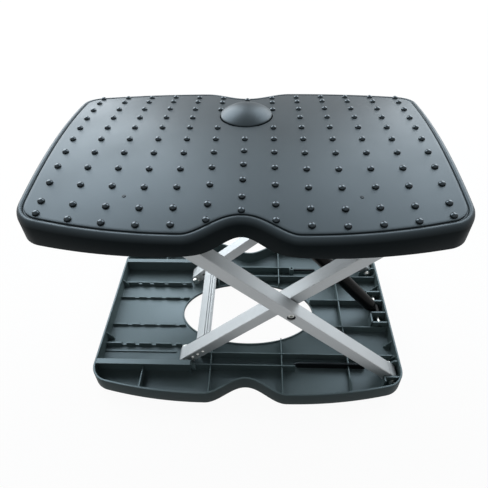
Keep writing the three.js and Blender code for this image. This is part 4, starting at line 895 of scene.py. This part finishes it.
def gas_spring():
    """Enamelled tube with its rolled end and eye, and the bright rod."""
    f = bpy.context.scene.footrest_frame
    rise = f.pitch / MM * math.sin(f.angle)
    dx = (f.hinge_x - f.head_x) / MM
    dz = rise + f.head_rise / MM
    far = math.hypot(dx, dz)
    local = Matrix.Translation((f.hinge_x / MM, f.strut_y / MM, f.hinge_z / MM))
    local = local @ Matrix.Rotation(math.pi + math.atan2(dz, dx), 4, "Y")
    r = f.tube_radius / MM
    profile = [
        (16, 5), (17, 7.5), (18.6, 9.4), (20.8, r - 0.15), (23, r), (214, r), (215.2, r - 0.9),
        (217.4, r - 0.9), (218.6, r), (225, r), (226.8, r - 0.5), (227.8, r - 1.6), (228, r - 3),
        (227.6, 6),
    ]
    tube = placed(turned(profile, 64), local)
    piece("gas_tube", *tube, ENAMEL, "cylinder", "black_steel", nodes=["gas_cylinder"])
    bushing = [(-7.4, 8), (7.4, 8), (8, 7.2), (8, 4.8), (7.6, 4.3), (-7.6, 4.3), (-8, 4.8)]
    eye = placed(placed(turned([(-8, 7.2), *bushing], 40, "loop"), SIDEWAYS), local)
    neck = placed(block((6.2, -6.5, -4.6), (18.5, 6.5, 4.6), 1), local)
    piece("gas_eye", *merged([eye, neck]), ENAMEL, "cylinder", "black_steel")
    profile = [(201, 4.4), (202, 5), (far - 11, 5), (far - 10.2, 4.6), (far - 9.3, 4.2)]
    rod = placed(turned(profile), local)
    piece("gas_rod", *rod, "Chromed rod", "rod", "bright_steel", nodes=["piston_rod"])
    ring = [(228.3, r - 0.4), (229, r), (234, r), (235, r - 0.8), (235, 5.4), (228.3, 5.4)]
    collar = placed(turned([(228.3, 7.5), *ring], 48, "loop"), local)
    piece("gas_collar", *collar, ACETAL, "cylinder", "black_plastic", nodes=["cylinder_collar"])


def turned_pin(name, node, body, chamfer=0.6):
    """A turned pin along Y or X that stands for a round CAD pin."""
    low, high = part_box(node)
    size = (high - low) / MM
    lengthwise = size.x > size.y
    half, radius = (size.x if lengthwise else size.y) / 2, size.z / 2
    profile = [
        (-half, radius - chamfer), (-half + chamfer, radius), (half - chamfer, radius),
        (half, radius - chamfer),
    ]
    at = Matrix.Translation(middle(node)) @ (Matrix() if lengthwise else SIDEWAYS)
    pin = placed(turned(profile, 32), at)
    piece(name + "_turned", *pin, ZINC, body, "bright_steel", nodes=[node])


def pin_heads():
    """The round heads of the fixed hinges' pins, on the inner and the outer cheeks."""
    f = bpy.context.scene.footrest_frame
    parts = []
    for side, facing, y in ((-1, 1, 94.2), (-1, -1, 122.9), (1, -1, 94.2), (1, 1, 122.9)):
        turn = Matrix.Rotation(facing * math.radians(90), 4, "Z")
        at = Matrix.Translation((f.hinge_x / MM, side * y, f.hinge_z / MM)) @ turn
        parts.append(placed(turned([(0, 5.6), (1.6, 5.6), (2.8, 4.6), (3.6, 2.6)], 28), at))
    piece("hinge_pin_heads", *merged(parts), ZINC, "base", "bright_steel")


# The pins by body, with their CAD names
PINS = {
    "base": ("hinge_pin_front", "hinge_pin_rear", "gas_spring_pin"),
    "outer_frame": ("upper_axle",),
    "carrier": ("upper_hinge_pin_front", "upper_hinge_pin_rear"),
    "rod": ("release_head_pin",),
    "rocking_platform": ("tilt_pin_left", "tilt_pin_right", "lever_pin"),
}


# Steel parts turned about X, as (along, radius) or (along, radius, hexagon)

# A hexagon nut 5.2 high with both its faces turned off, on the bolt's end
NUT = (
    (0, 6.1, 7.2), (0.7, 7.2, 7.2), (4.5, 7.2, 7.2), (5.2, 6.1, 7.2), (5.2, 4.7), (4.6, 4.3),
    (0.6, 4.3), (0, 4.7),
)
# The sliding foot's bolt: a hexagon head inside, a chamfered end outside
BOLT = ((0, 5.4, 6.4), (0.6, 6.4, 6.4), (5.5, 6.4, 6.4), (5.5, 4), (35.2, 4), (36.2, 3.2))
# A socket-head bolt: the hexagon socket is in its outer end
SOCKET_BOLT = (
    (0, 3.4), (0.8, 4), (41.5, 4), (41.5, 4.5), (45.6, 4.5), (46.2, 4.1), (46.4, 3.6),
    (46.4, 2.2, 2.2), (46, 2, 2), (43.8, 2, 2),
)
# A small pan-head screw's head, with its socket
SCREW = (
    (-8, 1.7), (0, 1.9), (0, 2.6), (0.35, 2.7), (0.9, 2.4), (1.3, 1.8), (1.38, 1.2, 1.2),
    (0.5, 1.05, 1.05),
)


def repeated(name, shape, places, turns, body, nodes):
    """Copies of a steel part on points, standing for CAD nodes."""
    part = piece(name + "_part", *shape, ZINC)
    cloud = point_cloud(name, places, turn=turns)
    grown(cloud, COPIES, {"Part": part, "Finish": finishes()[ZINC]}, body)
    bpy.data.objects.remove(part)
    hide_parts(*nodes)


SCREWS_ALONG = (19, 30, 41)  # from the lower bolt along the leg


def fasteners():
    """Pins, and the nuts, bolts and screws in pairs at the front and the rear."""
    f = bpy.context.scene.footrest_frame
    outer, inner = leg_matrix(True), leg_matrix(False)
    for body, nodes in PINS.items():
        for node in nodes:
            turned_pin(node.removeprefix("release_"), node, body)
    pin_heads()
    foot = [("", inner @ Vector((0, 0, 0)))]
    pivot = [("", outer @ Vector((f.pitch / MM / 2, 0, 0)))]
    screws = [(f"_{i + 1}", inner @ Vector((along, 0, 0))) for i, along in enumerate(SCREWS_ALONG)]
    for name, shape, body, y, spots in (
        ("lower_nut", turned(NUT, 36, "loop"), "inner_frame", 96.3, foot),
        ("lower_bolt", turned(BOLT, 36), "inner_frame", 68.2, foot),
        ("pivot_bolt", turned(SOCKET_BOLT, 36), "outer_frame", 71, pivot),
        ("leg_screw", turned(SCREW, 24), "inner_frame", 96.15, screws),
    ):
        where, turns, nodes = [], [], []
        for side, word in ((-1, "front"), (1, "rear")):
            for ending, at in spots:
                where.append((at.x, side * y, at.z))
                turns.append((0, 0, side * math.pi / 2))
                nodes.append(f"{name}_{word}{ending}")
        repeated(name + "s", shape, where, turns, body, nodes)


PLUNGER_AHEAD = 7.5  # from the button's middle to the lever's pin


def foot_button():
    """The domed button with its lip, skirt, boss and plunger."""
    s = bpy.context.scene.footrest_platform
    y, r, rise = s.button_y / MM, s.button_radius / MM, s.button_rise / MM
    base = crown_z(y)
    at = upright(0, y, base)

    def cap(radius, height, steps):
        ball = (radius * radius + height * height) / (2 * height)
        spots = [radius * i / steps for i in range(steps, 0, -1)] + [0.02]
        return [(height - ball + math.sqrt(ball * ball - q * q), q) for q in spots]

    lip = s.button_lip / MM
    outside = [(lip + along, radius) for along, radius in cap(r - 0.25, rise - lip, 26)]
    inside = cap(r - 2.6, rise - 2.6, 14)
    skirt = [(lip - 0.5, r), (-5, r), (-5.4, r - 0.4), (-5.4, r - 2.2), (-5, r - 2.6)]
    dome = placed(turned(outside[::-1] + skirt + inside, 96), at)
    piece("button_dome", *dome, ABS, "button", "platform_plastic", 50, nodes=["foot_button"])
    boss = placed(turned([(-2.7, 15.4), (-2.2, 16), (8.2, 16), (8.2, 12)]), at)
    foot = pin_height("lever_pin") + 1.3 - base
    plunger = turned([(foot, 3.4), (foot + 0.6, 4), (2, 4), (2.4, 3.6)], 28)
    ahead = Matrix.Translation((0, -PLUNGER_AHEAD, 0)) @ at
    parts = [boss, placed(plunger, ahead)]
    piece("button_boss", *merged(parts), ABS, "button", "platform_plastic")


LUG_SHEET, LUG_OVERLAP = 3.5, 0.6


def platform_lugs():
    """Pairs of lugs under the top that hold the tilt pins and the release lever's pin."""
    under = bpy.context.scene.footrest_platform.sheet / MM - LUG_OVERLAP
    head = bpy.context.scene.footrest_frame.head_x / MM
    tilt, lever = pin_height("tilt_pin_left"), pin_height("lever_pin")
    parts = []
    for x, gap, y0, y1, low, high in (
        (-186, 4.5, -10, 10, tilt - 7.5, crown_z(10)),
        (186, 4.5, -10, 10, tilt - 7.5, crown_z(10)),
        (head, 8.3, -50, -40, lever - 5, crown_z(45)),
    ):
        for step in (-1, 1):
            x0, x1 = sorted((x + step * gap, x + step * (gap + LUG_SHEET)))
            parts.append(block((x0, y0, low), (x1, y1, high - under), 0.8))
    piece("platform_lugs", *merged(parts), ABS, "rocking_platform", "platform_plastic")


DIMPLE_X, DIMPLE_Y = 122, -104.5


def platform_marks():
    """Two small dimples near the front, each with its sunk ring."""
    profile = [(-0.8, 2.1), (0.12, 2.1), (0.3, 1.7), (0.3, 1.2), (-0.2, 0.6)]
    places = [upright(side * DIMPLE_X, DIMPLE_Y, crown_z(DIMPLE_Y)) for side in (-1, 1)]
    parts = [placed(turned(profile, 20), at) for at in places]
    piece("platform_dimples", *merged(parts), ACETAL, "rocking_platform", "black_plastic")


# Finishes of the CAD nodes that stay

CAD_FINISH = (
    ("outer_leg", OUTER_LEGS),
    ("inner_leg", INNER_LEGS),
    ("tilt_bracket", POWDER),
    ("spring_bracket", POWDER),
    ("rubber_foot", "Rubber black"),
    ("release_head", ENAMEL),
    ("button_guide", ACETAL),
    ("tilt_friction_disc", ACETAL),
    ("pivot_washer", ACETAL),
    ("release_lever", ZINC),
    ("button_spring", ZINC),
)


def dress_cad_nodes():
    """Gives each visible CAD node the finish of the first words of its name."""
    for name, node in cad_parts.items():
        for start, material in CAD_FINISH:
            if name.startswith(start) and not node.hide_render:
                for slot in node.material_slots:
                    slot.material = finishes()[material]


# Camera, floor and light

CAMERA_PLACE = (18.17, -477.59, 604.7)
CAMERA_RIGHT = (0.99922, 0.03402, -0.01983)
CAMERA_UP = (-0.00819, 0.67183, 0.74066)
CAMERA_AHEAD = (-0.03852, 0.73993, -0.67159)
FOCAL_PIXELS, FRAME_PIXELS, SENSOR = 451.263, 488, 36
CENTRE_PIXELS = (241.9, 242.3)


def camera():
    """The camera that was solved from the photograph, as millimetres and pixels."""
    made = linked("camera", bpy.data.cameras.new("camera"))
    columns = (CAMERA_RIGHT, CAMERA_UP, tuple(-v for v in CAMERA_AHEAD))
    turn = Matrix(columns).transposed().to_4x4()
    made.matrix_world = Matrix.Translation(Vector(CAMERA_PLACE) * MM) @ turn
    made.data.sensor_width = SENSOR
    made.data.lens = FOCAL_PIXELS / FRAME_PIXELS * SENSOR
    made.data.shift_x = (FRAME_PIXELS / 2 - CENTRE_PIXELS[0]) / FRAME_PIXELS
    made.data.shift_y = -(FRAME_PIXELS / 2 - CENTRE_PIXELS[1]) / FRAME_PIXELS
    bpy.context.scene.camera = made


FLOOR_HALF = 6000  # millimetres
SEEN = (1, 1, 1, 1)  # the white that the camera and what is seen through glass get
GLOSSY_SHARE = 0.55  # of that white in reflections
SEEN_SHARE = 0.95  # of that white on the floor, so that it still takes shadows
FLOOR_TONE, SEEN_FLOOR_TONE = 0.3, 0.9  # the floor's own grey, for light and for the camera
SOFT_LIGHT = ((0.93, 0.97, 1, 1), 0.15)
# Each lamp's name, place and aim, its size in metres, power in watts and colour
LAMPS = (
    ("back_left", (-1.43, 1.71, 1.65), (0, 0, 0.3), (2.2, 2.7), 78, (0.9, 0.96, 1)),
    ("back_right", (1.43, 1.71, 1.6), (0, 0, 0.3), (2, 2.7), 56, (0.9, 0.96, 1)),
    ("front", (-0.4, -2.2, 1.9), (0, 0, 0.1), (1.6, 1.2), 3, (1, 1, 1)),
)


def lamp(name, place, aim, size, power, rgb):
    light = bpy.data.lights.new(name, "AREA")
    light.shape = "RECTANGLE"
    light.size, light.size_y = size
    light.energy = power
    light.color = rgb
    made = linked(name, light)
    made.location = place
    made.rotation_euler = (Vector(aim) - Vector(place)).to_track_quat("-Z", "Y").to_euler()


def seen_as_white(owner, white, share, output):
    """Mixes a white that is seen, in part in reflections, over what the rest of the light gets:
    returns the tree, the socket of 1 for rays from the camera, and the mix for the rest."""
    tree = emptied(owner)
    path = add(tree, "ShaderNodeLightPath").outputs
    rays = {0: path["Is Camera Ray"], 1: path["Is Transmission Ray"]}
    direct = add(tree, "ShaderNodeMath", rays, operation="MAXIMUM").outputs[0]
    parts = [
        add(tree, "ShaderNodeMath", {0: socket, 1: part}, operation="MULTIPLY").outputs[0]
        for socket, part in ((direct, share), (path["Is Glossy Ray"], GLOSSY_SHARE))
    ]
    factor = add(tree, "ShaderNodeMath", {0: parts[0], 1: parts[1]}, operation="MAXIMUM")
    light = add(tree, white, {"Color": SEEN, "Strength": 1})
    mix = add(tree, "ShaderNodeMixShader", {0: factor.outputs[0], 2: light.outputs[0]})
    add(tree, output, {"Surface": mix.outputs[0]})
    return tree, direct, mix.inputs[1]


def floor_and_light():
    corners = [(x * FLOOR_HALF, y * FLOOR_HALF, 0) for x, y in ((-1, -1), (1, -1), (1, 1), (-1, 1))]
    floor = linked("floor", new_mesh("floor", corners, [(0, 1, 2, 3)]))
    material = bpy.data.materials.new("Pale studio floor")
    output = "ShaderNodeOutputMaterial"
    tree, direct, rest = seen_as_white(material, "ShaderNodeEmission", SEEN_SHARE, output)
    tones = {0: direct, 1: SEEN_FLOOR_TONE - FLOOR_TONE, 2: FLOOR_TONE}
    tone = add(tree, "ShaderNodeMath", tones, operation="MULTIPLY_ADD")
    matt = add(tree, "ShaderNodeBsdfDiffuse", {"Color": tone.outputs[0]})
    tree.links.new(matt.outputs[0], rest)
    floor.data.materials.append(material)
    world = bpy.context.scene.world = bpy.data.worlds.new("studio")
    tree, direct, rest = seen_as_white(world, "ShaderNodeBackground", 1, "ShaderNodeOutputWorld")
    soft = add(tree, "ShaderNodeBackground", {"Color": SOFT_LIGHT[0], "Strength": SOFT_LIGHT[1]})
    tree.links.new(soft.outputs[0], rest)
    for settings in LAMPS:
        lamp(*settings)


# Operators, panel and registration


class FOOTREST_OT_stage(bpy.types.Operator):
    """Camera, floor, world and lamps"""

    bl_idname = "footrest.stage"
    bl_label = "Stage"

    def execute(self, context):
        context.scene.view_settings.view_transform = "Standard"
        camera()
        floor_and_light()
        return {"FINISHED"}


class FOOTREST_OT_tray(bpy.types.Operator):
    """Tray shell, ribs, racks and fittings"""

    bl_idname = "footrest.tray"
    bl_label = "Tray"

    def execute(self, context):
        tray_shell()
        tray_ribs()
        tray_racks()
        tray_fittings()
        return {"FINISHED"}


class FOOTREST_OT_platform(bpy.types.Operator):
    """Platform cover, lugs and dimples"""

    bl_idname = "footrest.platform"
    bl_label = "Platform"

    def execute(self, context):
        platform_cover()
        platform_lugs()
        platform_marks()
        return {"FINISHED"}


class FOOTREST_OT_studs(bpy.types.Operator):
    """Studs on the platform"""

    bl_idname = "footrest.studs"
    bl_label = "Studs"

    def execute(self, context):
        s = context.scene.footrest_platform
        cloud = point_cloud("platform_studs", stud_places())
        finish = finishes()[RUBBED]
        values = {"Radius": s.stud_radius, "Rise": s.stud_rise, "Finish": finish}
        grown(cloud, STUDS, values, "rocking_platform", 80)
        return {"FINISHED"}


class FOOTREST_OT_button(bpy.types.Operator):
    """Foot button with its boss and plunger"""

    bl_idname = "footrest.button"
    bl_label = "Foot button"

    def execute(self, context):
        foot_button()
        return {"FINISHED"}


class FOOTREST_OT_cross_members(bpy.types.Operator):
    """Bars that join the legs"""

    bl_idname = "footrest.cross_members"
    bl_label = "Cross members"

    def execute(self, context):
        cross_members()
        carrier_rails()
        return {"FINISHED"}


class FOOTREST_OT_gas_spring(bpy.types.Operator):
    """Gas spring with its eye, rod and collar"""

    bl_idname = "footrest.gas_spring"
    bl_label = "Gas spring"

    def execute(self, context):
        gas_spring()
        return {"FINISHED"}


class FOOTREST_OT_fasteners(bpy.types.Operator):
    """Pins, bolts, nuts and screws"""

    bl_idname = "footrest.fasteners"
    bl_label = "Fasteners"

    def execute(self, context):
        fasteners()
        return {"FINISHED"}


class FOOTREST_OT_frame_finishes(bpy.types.Operator):
    """Finishes of the frame's own parts"""

    bl_idname = "footrest.frame_finishes"
    bl_label = "Frame finishes"

    def execute(self, context):
        dress_cad_nodes()
        return {"FINISHED"}


OPERATORS = (
    FOOTREST_OT_stage,
    FOOTREST_OT_tray,
    FOOTREST_OT_platform,
    FOOTREST_OT_studs,
    FOOTREST_OT_button,
    FOOTREST_OT_cross_members,
    FOOTREST_OT_gas_spring,
    FOOTREST_OT_fasteners,
    FOOTREST_OT_frame_finishes,
)


class FOOTREST_PT_panel(bpy.types.Panel):
    bl_idname = "FOOTREST_PT_panel"
    bl_label = "Under-desk footrest"
    bl_space_type = "VIEW_3D"
    bl_region_type = "UI"
    bl_category = "Footrest"

    def draw(self, context):
        for operator in OPERATORS:
            self.layout.operator(operator.bl_idname)
        for name, group in SETTINGS.items():
            column = self.layout.box().column()
            for key in group.__annotations__:
                column.prop(getattr(context.scene, name), key)


CLASSES = (*SETTINGS.values(), *OPERATORS, FOOTREST_PT_panel)


def register():
    for kind in CLASSES:
        bpy.utils.register_class(kind)
    for name, group in SETTINGS.items():
        setattr(bpy.types.Scene, name, PointerProperty(type=group))


def unregister():
    for name in SETTINGS:
        delattr(bpy.types.Scene, name)
    for kind in reversed(CLASSES):
        bpy.utils.unregister_class(kind)


def main():
    register()
    for operator in OPERATORS:
        group, name = operator.bl_idname.split(".")
        getattr(getattr(bpy.ops, group), name)()


if __name__ == "__main__":
    main()
